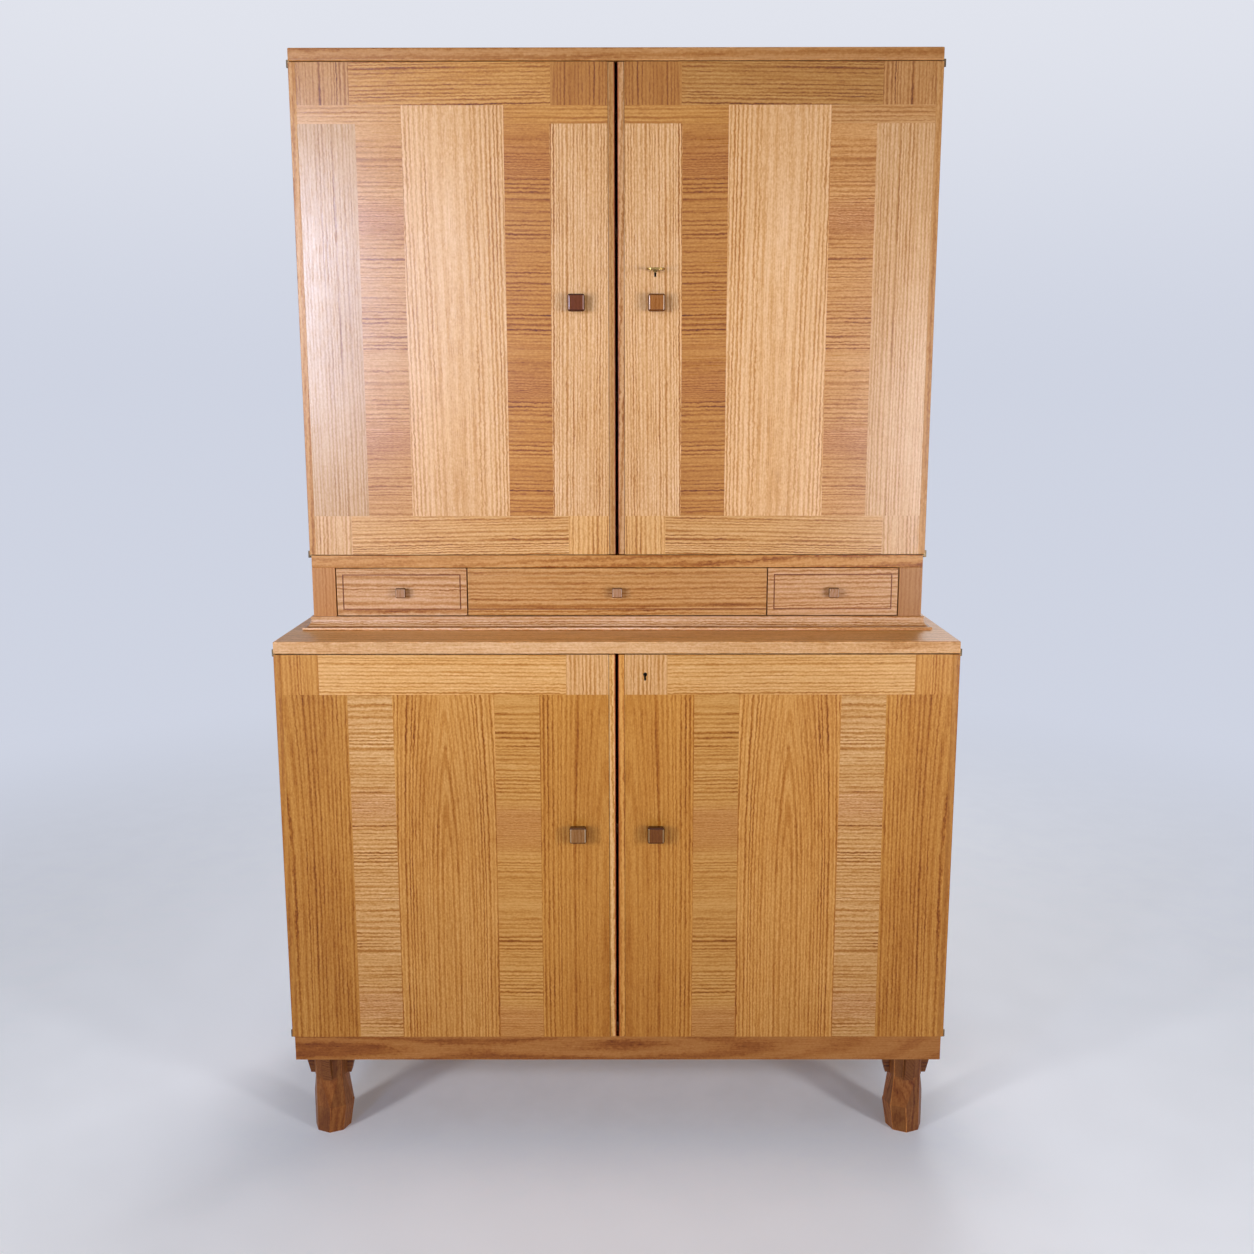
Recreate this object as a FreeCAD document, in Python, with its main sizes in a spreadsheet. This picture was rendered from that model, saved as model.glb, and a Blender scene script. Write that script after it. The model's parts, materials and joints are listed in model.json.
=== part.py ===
"""Two-stage linen press with patterned veneer doors, three drawers and carved legs.

Millimetres.  +Z is up, the front faces -Y and +X is to the right as seen from the front.
The origin lies on the floor, under the middle of the press.
"""
import FreeCAD
import Part
import Sketcher
import os
import re

SIZES = {
    # Overall sizes
    "lower_width": 1110,
    "lower_depth": 455,
    "upper_width": 1037,
    "upper_setback": 118,
    # Heights, from the floor up
    "leg_height": 148,
    "base_height": 43,
    "lower_opening_height": 667,
    "waist_thickness": 20,
    "moulding_height": 22,
    "drawer_opening_height": 83,
    "deck_thickness": 21,
    "upper_opening_height": 785,
    "top_thickness": 20,
    # Case boards
    "lower_side_thickness": 20,
    "upper_side_thickness": 18,
    "side_inset": 2,
    "floor_thickness": 18,
    "back_thickness": 8,
    "back_rebate": 8,
    "housing_depth": 6,
    "base_inset": 3,
    "base_setback": 4,
    "base_rail_thickness": 25,
    "corner_block_length": 85,
    "rail_setback": 1.5,
    "post_width": 39,
    # Shelves and their pegs
    "shelf_thickness": 18,
    "shelf_setback": 26,
    "shelf_end_gap": 1,
    "lower_shelf_height": 330,
    "upper_first_shelf_height": 255,
    "upper_second_shelf_height": 520,
    "peg_radius": 3,
    "peg_reach": 9,
    "peg_depth": 11,
    "peg_inset": 45,
    "peg_pitch": 32,
    "peg_clearance": 0.05,
    # Moulding round the foot of the upper stage
    "moulding_reach": 16.5,
    "moulding_ledge": 4.5,
    "moulding_hollow_foot": 11,
    "moulding_hollow_radius": 14,
    "moulding_bead_height": 5,
    # Legs and their bracket boards
    "leg_inset": 52,
    "leg_top_radius": 32,
    "leg_neck_radius": 31.5,
    "leg_knee_radius": 35,
    "leg_foot_radius": 31,
    "leg_knee_height": 49,
    "leg_knee_shift": 2.5,
    "leg_foot_shift": 1.5,
    "leg_shave_depth": 6.2,
    "bracket_thickness": 15,
    "bracket_height": 46,
    "bracket_half_length": 46,
    "bracket_taper": 11,
    "leg_bolt_radius": 4,
    "leg_bolt_head_radius": 8,
    "leg_bolt_head_height": 5,
    "leg_bolt_bite": 40,
    # Doors
    "door_thickness": 20,
    "door_edge_gap": 1.5,
    "door_back_gap": 1,
    "meeting_gap": 4.5,
    "lipping_width": 11,
    "veneer_thickness": 0.8,
    # Veneer leaves of an upper door, from its hinge edge
    "upper_outer_column": 92,
    "upper_cross_column": 73,
    "upper_centre_column": 163,
    "upper_top_row": 65,
    "upper_top_outer_block": 84,
    "upper_top_inner_block": 91,
    "upper_second_row": 28,
    "upper_bottom_row": 65,
    "upper_bottom_outer_block": 62,
    "upper_bottom_inner_block": 68,
    # Veneer leaves of a lower door, from its hinge edge
    "lower_outer_column": 106,
    "lower_cross_column": 73,
    "lower_centre_column": 166,
    "lower_top_row": 66,
    "lower_top_outer_block": 61,
    "lower_top_inner_block": 69,
    # Knife hinges
    "hinge_leaf_length": 46,
    "hinge_leaf_width": 10,
    "hinge_leaf_thickness": 2.5,
    "hinge_leaf_inset": 8,
    "pivot_overhang": 3.2,
    "pivot_inset": 5,
    "knuckle_radius": 2.9,
    "knuckle_height": 5,
    "pin_radius": 1.5,
    "pin_clearance": 0.05,
    "collar_clearance": 0.2,
    "hinge_screw_near": 11,
    "hinge_screw_far": 36,
    "hinge_screw_radius": 1.3,
    "hinge_screw_head_radius": 2.6,
    "hinge_screw_head_depth": 1.6,
    "hinge_screw_length": 15,
    # Knobs
    "door_knob_width": 28,
    "door_knob_head": 14,
    "door_knob_reach": 24,
    "door_knob_round": 4,
    "door_knob_neck": 15,
    "door_tenon_radius": 5,
    "door_tenon_length": 12,
    "drawer_knob_width": 17,
    "drawer_knob_head": 9,
    "drawer_knob_reach": 16,
    "drawer_knob_round": 2.6,
    "drawer_knob_neck": 9,
    "drawer_tenon_radius": 3.5,
    "drawer_tenon_length": 11,
    "upper_knob_offset": 65,
    "upper_knob_height": 411,
    "lower_knob_offset": 64,
    "lower_knob_height": 366,
    # Locks, bolts and key
    "upper_key_offset": 63,
    "upper_key_height": 463,
    "lower_key_offset": 46,
    "lower_key_drop": 32.5,
    "keyhole_radius": 3.4,
    "keyhole_slot_width": 3.4,
    "keyhole_slot_drop": 10,
    "lock_depth": 11,
    "lock_wall": 2.5,
    "lock_above": 30,
    "lock_below": 22,
    "lock_behind": 20,
    "drill_pin_radius": 1.5,
    "key_bore_clearance": 0.08,
    "bolt_thickness": 5,
    "bolt_width": 12,
    "bolt_rise": 8,
    "bolt_tail": 15,
    "bolt_clearance": 0.2,
    "bolt_setback": 0.5,
    "talon_ahead": 6,
    "talon_behind": 13,
    "talon_depth": 4,
    "keeper_depth": 10,
    "strike_thickness": 1.5,
    "strike_margin": 12,
    "strike_side_margin": 3,
    "strike_pocket": 9,
    "key_barrel_radius": 3,
    "key_reach": 12,
    "key_end_gap": 1,
    "key_bit_reach": 8.5,
    "key_bit_thickness": 2.4,
    "key_bit_length": 5,
    "key_collar_radius": 4,
    "key_collar_length": 3,
    "key_bow_width": 30,
    "key_bow_length": 19,
    "key_bow_thickness": 2.8,
    "key_bow_band": 3.2,
    # Barrel bolts on the backs of the left doors
    "barrel_inset": 14,
    "barrel_plate_width": 18,
    "barrel_plate_length": 62,
    "barrel_plate_thickness": 2,
    "barrel_plate_drop": 10,
    "barrel_guide_width": 10,
    "barrel_guide_length": 10,
    "barrel_guide_margin": 3,
    "barrel_standoff": 6.5,
    "barrel_rod_radius": 3,
    "barrel_rod_clearance": 0.06,
    "barrel_rod_drop": 2,
    "barrel_rod_length": 74,
    "barrel_thumb_radius": 2.6,
    "barrel_thumb_reach": 10,
    "barrel_thumb_drop": 44,
    "barrel_socket_clearance": 0.4,
    "barrel_socket_depth": 11,
    # Drawers
    "small_drawer_width": 220.5,
    "drawer_gap": 1.8,
    "drawer_edge_gap": 1.2,
    "drawer_front_thickness": 18,
    "drawer_rear_gap": 47.5,
    "drawer_stop_gap": 1.5,
    "drawer_side_thickness": 10,
    "drawer_side_height": 62,
    "drawer_slide_clearance": 0.3,
    "drawer_guide_clearance": 0.5,
    "drawer_tongue_thickness": 5,
    "drawer_tongue_depth": 6,
    "drawer_bottom_thickness": 5,
    "drawer_bottom_rise": 6,
    "drawer_groove_depth": 4,
    "drawer_back_inset": 12,
    "drawer_back_drop": 5,
    "divider_thickness": 12,
    "border_inset": 10,
    "border_width": 2,
    "border_depth": 1.2,
    # Fasteners
    "case_screw_radius": 1.75,
    "case_screw_head_radius": 3.4,
    "case_screw_head_depth": 2,
    "case_screw_length": 24,
    "case_screw_margin": 60,
    "dowel_radius": 5,
    "dowel_depth": 12,
    "dowel_x_inset": 120,
    "dowel_y_inset": 60,
    # How far a cutting shape runs past the face that it opens
    "cut_overshoot": 1,
}

PLACES = {
    # Planes from front to back
    "front_plane": "(door_knob_reach - lower_depth) / 2",
    "back_plane": "(door_knob_reach + lower_depth) / 2",
    "panel_front": "back_plane - back_thickness",
    "base_front": "front_plane + base_setback",
    "lower_door_back": "front_plane + door_thickness",
    "lower_case_front": "lower_door_back + door_back_gap",
    "upper_front": "front_plane + upper_setback",
    "upper_door_back": "upper_front + door_thickness",
    "upper_case_front": "upper_door_back + door_back_gap",
    "rail_front": "upper_front + rail_setback",
    "drawer_front_back": "rail_front + drawer_front_thickness",
    "drawer_end": "panel_front - drawer_rear_gap",
    "divider_front": "drawer_front_back + drawer_stop_gap",
    # Levels from the floor up
    "base_top": "leg_height + base_height",
    "lower_floor_top": "base_top + floor_thickness",
    "waist_bottom": "base_top + lower_opening_height",
    "waist_top": "waist_bottom + waist_thickness",
    "moulding_top": "waist_top + moulding_height",
    "deck_bottom": "moulding_top + drawer_opening_height",
    "deck_top": "deck_bottom + deck_thickness",
    "top_bottom": "deck_top + upper_opening_height",
    "top_top": "top_bottom + top_thickness",
    "lower_door_low": "base_top + door_edge_gap",
    "lower_door_high": "waist_bottom - door_edge_gap",
    "upper_door_low": "deck_top + door_edge_gap",
    "upper_door_high": "top_bottom - door_edge_gap",
    "bracket_bottom": "leg_height - bracket_height",
    "upper_key_level": "upper_door_low + upper_key_height",
    "lower_key_level": "lower_door_high - lower_key_drop",
    "drawer_side_low": "moulding_top + drawer_slide_clearance",
    "drawer_side_high": "drawer_side_low + drawer_side_height",
    "drawer_bottom_low": "drawer_side_low + drawer_bottom_rise",
    "drawer_bottom_high": "drawer_bottom_low + drawer_bottom_thickness",
    # Distances from the middle out to the right
    "lower_half": "lower_width / 2",
    "lower_side_out": "lower_half - side_inset",
    "lower_side_in": "lower_side_out - lower_side_thickness",
    "base_half": "lower_half - base_inset",
    "upper_half": "upper_width / 2",
    "upper_side_out": "upper_half - side_inset",
    "upper_side_in": "upper_side_out - upper_side_thickness",
    "post_in": "upper_side_out - post_width",
    "drawer_out": "post_in - drawer_gap",
    "divider_centre": "drawer_out - small_drawer_width - drawer_gap / 2",
    "door_edge": "meeting_gap / 2",
    "upper_door_width": "upper_half - door_edge",
    "lower_door_width": "lower_half - door_edge",
    "leg_side_place": "lower_half - leg_inset",
    "leg_front_place": "front_plane + leg_inset",
    "leg_rear_place": "back_plane - leg_inset",
    "barrel_place": "door_edge + barrel_inset",
}

ALONG = {
    "x": FreeCAD.Rotation(FreeCAD.Vector(0, 1, 0), 90),
    "y": FreeCAD.Rotation(FreeCAD.Vector(1, 0, 0), -90),
    "z": FreeCAD.Rotation(),
}
SIDES = ("left", "right")
LEG_SIDES = 8
LOWER_BACK_SCREWS = 4
UPPER_BACK_SCREWS = 5
OPPOSITE = {"up": "down", "down": "up"}

doc = FreeCAD.newDocument("linen_press")
sheet = doc.addObject("Spreadsheet::Sheet", "Sizes")
for row, (alias, value) in enumerate(SIZES.items(), 1):
    sheet.set(f"A{row}", alias)
    sheet.set(f"B{row}", str(value))
    sheet.setAlias(f"B{row}", alias)
doc.recompute()

nodes = []


def formula(text):
    """Spell a formula of named sizes and places as references to the sheet's cells."""
    def spell(match):
        word = match.group(0)
        if word == "sqrt":
            return word
        if word in PLACES:
            return f"({formula(PLACES[word])})"
        if word not in SIZES:
            raise KeyError(word)
        return f"Sizes.{word}"
    return re.sub(r"[a-z][a-z_]*", spell, text)


def bind(piece, sizes):
    """Bind properties of a piece to formulas."""
    for name, text in sizes.items():
        piece.setExpression(name, formula(text))
    return piece


def spot(x, y, z):
    """Placement formulas for a point."""
    return {"Placement.Base.x": x, "Placement.Base.y": y, "Placement.Base.z": z}


def board(name, x, y, z):
    """Rectangular solid between two limits on each axis."""
    sizes = {"Length": x, "Width": y, "Height": z}
    piece = doc.addObject("Part::Box", name)
    bind(piece, {size: f"({high}) - ({low})" for size, (low, high) in sizes.items()})
    return bind(piece, spot(x[0], y[0], z[0]))


def rod(name, axis, x, y, z, radius):
    """Cylinder along an axis: the place on that axis is a pair of limits, the others are single."""
    low, high = {"x": x, "y": y, "z": z}[axis]
    start = {"x": x, "y": y, "z": z} | {axis: low}
    piece = doc.addObject("Part::Cylinder", name)
    piece.Placement = FreeCAD.Placement(FreeCAD.Vector(), ALONG[axis])
    bind(piece, {"Radius": radius, "Height": f"({high}) - ({low})"})
    return bind(piece, spot(start["x"], start["y"], start["z"]))


def taper(name, axis, x, y, z, radii):
    """Cone along an axis, with its radius at the low and the high limit."""
    low, high = {"x": x, "y": y, "z": z}[axis]
    start = {"x": x, "y": y, "z": z} | {axis: low}
    piece = doc.addObject("Part::Cone", name)
    piece.Placement = FreeCAD.Placement(FreeCAD.Vector(), ALONG[axis])
    bind(piece, {"Radius1": radii[0], "Radius2": radii[1], "Height": f"({high}) - ({low})"})
    return bind(piece, spot(start["x"], start["y"], start["z"]))


def wedge(name, along, low_x, high_x, low_z, high_z, rotation=FreeCAD.Rotation(), place=("0", "0", "0")):
    """Prism whose outline changes evenly along its own Y, from the low to the high limit."""
    piece = doc.addObject("Part::Wedge", name)
    piece.Placement = FreeCAD.Placement(FreeCAD.Vector(), rotation)
    bind(piece, {"Ymin": along[0], "Ymax": along[1]})
    bind(piece, {"Xmin": low_x[0], "Xmax": low_x[1], "Zmin": low_z[0], "Zmax": low_z[1]})
    bind(piece, {"X2min": high_x[0], "X2max": high_x[1], "Z2min": high_z[0], "Z2max": high_z[1]})
    return bind(piece, spot(*place))


def join(name, pieces):
    """One solid made of several that meet."""
    piece = doc.addObject("Part::MultiFuse", name)
    piece.Shapes = pieces
    piece.Refine = True
    return piece


def cut(name, base, tools):
    """A piece with other shapes taken out of it."""
    piece = doc.addObject("Part::Cut", name)
    piece.Base = base
    piece.Tool = tools[0] if len(tools) == 1 else join(f"{name}_tools", tools)
    return piece


def group(name, pieces):
    """Separate solids kept together."""
    piece = doc.addObject("Part::Compound", name)
    piece.Links = pieces
    return piece


def node(name, piece):
    """Name a finished sub-part, which is written to a file of that name."""
    piece.Label = name
    nodes.append(piece)
    return piece


def place_on(side, place):
    """A distance from the middle, as a place on the left or the right."""
    return place if side == "right" else f"-({place})"


def span_on(side, near, far):
    """Limits from near to far of the middle, on the left or the right."""
    return (near, far) if side == "right" else (f"-({far})", f"-({near})")


def span_from(level, way, near, far):
    """Limits from near to far of a level, above or below it."""
    if way == "up":
        return (f"{level} + {near}", f"{level} + {far}")
    return (f"{level} - ({far})", f"{level} - ({near})")


def across(half):
    """Limits that run the same distance left and right of the middle."""
    return (f"-({half})", half)


def about(centre, width):
    """Limits half a width either side of a place."""
    return (f"{centre} - ({width}) / 2", f"{centre} + ({width}) / 2")


def origin_plane(body, role):
    """One of the origin planes of a body."""
    return next(plane for plane in body.Origin.OriginFeatures if plane.Role == role)


def new_sketch(body, name, role):
    """Empty sketch on one of a body's origin planes."""
    sketch = body.newObject("Sketcher::SketchObject", name)
    sketch.AttachmentSupport = [(origin_plane(body, role), "")]
    sketch.MapMode = "FlatFace"
    return sketch


def constrain(sketch, name, text, *constraint):
    """Add a named constraint whose value follows a formula."""
    index = sketch.addConstraint(Sketcher.Constraint(*constraint))
    sketch.renameConstraint(index, name)
    sketch.setExpression(f"Constraints.{name}", formula(text))


def close_outline(sketch, count):
    """Join the end of each edge to the start of the next."""
    for index in range(count):
        sketch.addConstraint(Sketcher.Constraint("Coincident", index, 2, (index + 1) % count, 1))


def draw_square(sketch, width):
    """Square of a named width, centred on the sketch's origin."""
    full = SIZES[width]
    half = full / 2
    corners = [FreeCAD.Vector(x * half, y * half, 0) for x, y in ((-1, -1), (1, -1), (1, 1), (-1, 1))]
    for start, end in zip(corners, corners[1:] + corners[:1]):
        sketch.addGeometry(Part.LineSegment(start, end), False)
    close_outline(sketch, len(corners))
    for direction, lines in (("Horizontal", (0, 2)), ("Vertical", (1, 3))):
        for line in lines:
            sketch.addConstraint(Sketcher.Constraint(direction, line))
    sketch.addConstraint(Sketcher.Constraint("Symmetric", 0, 1, 2, 1, -1, 1))
    constrain(sketch, "wide", width, "DistanceX", 0, 1, 0, 2, full)
    constrain(sketch, "high", width, "DistanceY", 1, 1, 1, 2, full)


def knob(name, kind, x, face, z):
    """Square knob with softened edges, a narrower neck and a round tenon; returns the tenon."""
    body = doc.addObject("PartDesign::Body", f"{name}_head")
    sketch = new_sketch(body, f"{name}_square", "XZ_Plane")
    draw_square(sketch, f"{kind}_knob_width")
    pad = body.newObject("PartDesign::Pad", f"{name}_pad")
    pad.Profile = sketch
    bind(pad, {"Length": f"{kind}_knob_head"})
    doc.recompute()
    rounding = body.newObject("PartDesign::Fillet", f"{name}_rounding")
    rounding.Base = (pad, [])
    rounding.UseAllEdges = True
    bind(rounding, {"Radius": f"{kind}_knob_round"})
    neck_start = f"{face} - {kind}_knob_reach + {kind}_knob_head"
    bind(body, spot(x, neck_start, z))
    neck_y = (f"{neck_start} - {kind}_knob_round", face)
    neck = board(f"{name}_neck", about(x, f"{kind}_knob_neck"), neck_y, about(z, f"{kind}_knob_neck"))
    tenon = rod(f"{name}_tenon", "y", x, (face, f"{face} + {kind}_tenon_length"), z, f"{kind}_tenon_radius")
    node(name, join(name, [body, neck, tenon]))
    return tenon


def countersunk(name, axis, x, y, z, sizes, head_high):
    """Wood screw between two limits, with its head at the high or the low limit."""
    low, high = {"x": x, "y": y, "z": z}[axis]
    radii = [f"{sizes}_radius", f"{sizes}_head_radius"]
    head = (f"{high} - {sizes}_head_depth", high)
    if not head_high:
        radii.reverse()
        head = (low, f"{low} + {sizes}_head_depth")
    place = {"x": x, "y": y, "z": z}
    shank = rod(f"{name}_shank", axis, x, y, z, f"{sizes}_radius")
    place[axis] = head
    cone = taper(f"{name}_cone", axis, place["x"], place["y"], place["z"], radii)
    return join(name, [shank, cone])


def hinge_leaf(name, side, stage, level, way):
    """Plate, bridge and knuckle of a hinge leaf that is let in from a level, upwards or downwards."""
    half = f"{stage}_half"
    pivot_y = f"{stage}_door_back - pivot_inset"
    thickness = span_from(level, way, "0", "hinge_leaf_thickness")
    plate = board(
        f"{name}_plate", span_on(side, f"{half} - hinge_leaf_length", half),
        about(f"{stage}_door_back - hinge_leaf_inset", "hinge_leaf_width"), thickness)
    bridge = board(
        f"{name}_bridge", span_on(side, f"{half} - pivot_overhang", f"{half} + pivot_overhang"),
        about(pivot_y, "2 * knuckle_radius"), thickness)
    knuckle = rod(
        f"{name}_knuckle", "z", place_on(side, f"{half} + pivot_overhang"), pivot_y,
        span_from(level, way, "0", "knuckle_height"), "knuckle_radius")
    return [plate, bridge, knuckle]


def hinge_screws(name, side, stage, level, way):
    """Two countersunk screws through a hinge leaf, with their heads at the level."""
    screws = []
    for spacing in ("near", "far"):
        x = place_on(side, f"{stage}_half - hinge_screw_{spacing}")
        y = f"{stage}_door_back - hinge_leaf_inset"
        z = span_from(level, way, "0", "hinge_screw_length")
        screws.append(countersunk(f"{name}_{spacing}", "z", x, y, z, "hinge_screw", way == "down"))
    return screws


def hinge(name, side, stage, edge, opening, way):
    """Knife hinge between a door's edge and the face across the gap, which lies up or down from it.

    Returns the door leaf with its pin and its screws, then the case leaf with its screws.
    """
    back = OPPOSITE[way]
    pivot_x = place_on(side, f"{stage}_half + pivot_overhang")
    pivot_y = f"{stage}_door_back - pivot_inset"
    door_screws = hinge_screws(f"{name}_door_screw", side, stage, edge, back)
    case_screws = hinge_screws(f"{name}_case_screw", side, stage, opening, way)
    pin_reach = "door_edge_gap + knuckle_height"
    pin = rod(f"{name}_pin", "z", pivot_x, pivot_y,
              span_from(edge, way, "0 - hinge_leaf_thickness", pin_reach), "pin_radius")
    collar = rod(f"{name}_collar", "z", pivot_x, pivot_y,
                 span_from(edge, way, "0", "door_edge_gap - collar_clearance"), "knuckle_radius")
    door_plates = hinge_leaf(f"{name}_door", side, stage, edge, back)
    door_solid = join(f"{name}_door_solid", door_plates + [pin, collar])
    door_leaf = cut(f"{name}_door_leaf", door_solid, door_screws)
    case_solid = join(f"{name}_case_solid", hinge_leaf(f"{name}_case", side, stage, opening, way))
    eye = rod(f"{name}_eye", "z", pivot_x, pivot_y,
              span_from(opening, way, "0 - door_edge_gap", "2 * knuckle_height"),
              "pin_radius + pin_clearance")
    case_leaf = cut(f"{name}_case_leaf", case_solid, case_screws + [eye])
    return [door_leaf] + door_screws, [case_leaf] + case_screws


def keyhole(name, stage):
    """Round hole with a slot below it, from the door's face into the lock."""
    x = f"{stage}_key_offset"
    z = f"{stage}_key_level"
    face = "upper_front" if stage == "upper" else "front_plane"
    y = (f"{face} - cut_overshoot", f"{stage}_door_back - lock_depth")
    hole = rod(f"{name}_round", "y", x, y, z, "keyhole_radius")
    slot = board(f"{name}_slot", about(x, "keyhole_slot_width"), y, (f"{z} - keyhole_slot_drop", z))
    return join(name, [hole, slot])


def bolt_depth(stage):
    """Limits of a lock bolt's thickness, just inside the lock's back plate."""
    plate = f"{stage}_door_back - lock_wall - bolt_clearance"
    return (f"{plate} - bolt_thickness", plate)


def widened(limits, clearance):
    """Limits moved apart by a clearance at each end."""
    return (f"{limits[0]} - {clearance}", f"{limits[1]} + {clearance}")


def lock_tray(name, stage, x, z, slot):
    """Lock case open towards the door's face, with a drill pin for the key and a slot for the bolt.

    Returns the block that the case fills.
    """
    y = (f"{stage}_door_back - lock_depth", f"{stage}_door_back")
    block = board(f"{name}_block", x, y, z)
    hollow = board(f"{name}_hollow", widened(x, "(0 - lock_wall)"),
                   (f"{y[0]} - cut_overshoot", f"{y[1]} - lock_wall"), widened(z, "(0 - lock_wall)"))
    shell = cut(f"{name}_shell", block, [hollow, slot])
    pin = rod(f"{name}_pin", "y", f"{stage}_key_offset", (y[0], f"{y[1]} - lock_wall"), f"{stage}_key_level",
              "drill_pin_radius")
    node(name, join(name, [shell, pin]))
    return block


def upper_lock():
    """Lock of the upper right door: its bolt slides sideways into the left door."""
    key_x = "upper_key_offset"
    x = ("door_edge", f"{key_x} + lock_behind")
    z = ("upper_key_level - lock_below", "upper_key_level + lock_above")
    bolt_z = ("upper_key_level + bolt_rise", "upper_key_level + bolt_rise + bolt_width")
    bolt_y = bolt_depth("upper")
    slot = board("upper_lock_slot", ("door_edge - cut_overshoot", "door_edge + lock_wall + cut_overshoot"),
                 widened(bolt_y, "bolt_clearance"), widened(bolt_z, "bolt_clearance"))
    block = lock_tray("upper_lock", "upper", x, z, slot)
    bar = board("upper_lock_bar", ("door_edge + bolt_setback", f"{key_x} + bolt_tail"), bolt_y, bolt_z)
    talon = board("upper_lock_talon", (f"{key_x} - talon_ahead", f"{key_x} + talon_behind"),
                  widened(bolt_y, "cut_overshoot"),
                  (f"{bolt_z[0]} - cut_overshoot", f"{bolt_z[0]} + talon_depth"))
    node("upper_lock_bolt", cut("upper_lock_bolt", bar, [talon]))
    pocket = board("upper_strike_pocket",
                   span_on("left", "door_edge - cut_overshoot", "door_edge + strike_pocket"),
                   widened(bolt_y, "2 * bolt_clearance"), widened(bolt_z, "2 * bolt_clearance"))
    plate = board("upper_strike_plate", span_on("left", "door_edge", "door_edge + strike_thickness"),
                  widened(bolt_y, "strike_side_margin"), widened(bolt_z, "strike_margin"))
    node("upper_lock_strike", cut("upper_lock_strike", plate, [pocket]))
    return block, [plate, pocket]


def lower_lock():
    """Lock of the lower right door: its bolt slides up into the waist board."""
    key_x = "lower_key_offset"
    x = (f"{key_x} - lock_behind", f"{key_x} + bolt_rise + bolt_width + lock_wall + 2 * bolt_clearance")
    z = ("lower_key_level - lock_behind", "lower_door_high")
    bolt_x = (f"{key_x} + bolt_rise", f"{key_x} + bolt_rise + bolt_width")
    bolt_y = bolt_depth("lower")
    slot = board("lower_lock_slot", widened(bolt_x, "bolt_clearance"), widened(bolt_y, "bolt_clearance"),
                 ("lower_door_high - lock_wall - cut_overshoot", "lower_door_high + cut_overshoot"))
    block = lock_tray("lower_lock", "lower", x, z, slot)
    bolt_z = ("lower_key_level - bolt_tail", "lower_door_high - bolt_setback")
    node("lower_lock_bolt", board("lower_lock_bolt", bolt_x, bolt_y, bolt_z))
    keeper = board("lower_lock_keeper", widened(bolt_x, "2 * bolt_clearance"),
                   widened(bolt_y, "2 * bolt_clearance"),
                   ("waist_bottom - cut_overshoot", "waist_bottom + keeper_depth"))
    return block, keeper


def key():
    """Key in the upper lock: hollow barrel on the drill pin, bit to one side, flat oval bow."""
    x = "upper_key_offset"
    z = "upper_key_level"
    end = "upper_door_back - lock_wall - key_end_gap"
    mouth = "upper_front - key_reach"
    barrel = rod("key_barrel", "y", x, (mouth, end), z, "key_barrel_radius")
    collar = rod("key_collar", "y", x, (mouth, f"{mouth} + key_collar_length"), z, "key_collar_radius")
    bit = board("key_bit", (x, f"{x} + key_bit_reach"), (f"{end} - key_bit_length", end),
                about(z, "key_bit_thickness"))
    thickness = about(z, "key_bow_thickness")
    middle = f"{mouth} - key_bow_length / 2"
    offset = "(key_bow_width - key_bow_length) / 2"
    outlines = []
    for outline, shrink in (("outer", "0"), ("inner", "key_bow_band")):
        radius = f"key_bow_length / 2 - {shrink}"
        ends = [
            rod(f"key_bow_{outline}_{way}", "z", f"{x} {sign} {offset}", middle, thickness, radius)
            for way, sign in (("left", "-"), ("right", "+"))]
        bar = board(f"key_bow_{outline}_bar", about(x, f"2 * {offset}"), about(middle, f"2 * ({radius})"),
                    thickness)
        outlines.append(join(f"key_bow_{outline}", ends + [bar]))
    bow = cut("key_bow", outlines[0], outlines[1:])
    stem = rod("key_stem", "y", x, (f"{mouth} - key_bow_band / 2", mouth), z, "key_bow_thickness / 2")
    solid = join("key_solid", [barrel, collar, bit, bow, stem])
    bore_y = ("upper_door_back - lock_depth - cut_overshoot", f"{end} + cut_overshoot")
    bore = rod("key_bore", "y", x, bore_y, z, "drill_pin_radius + key_bore_clearance")
    node("key", cut("key", solid, [bore]))


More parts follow.
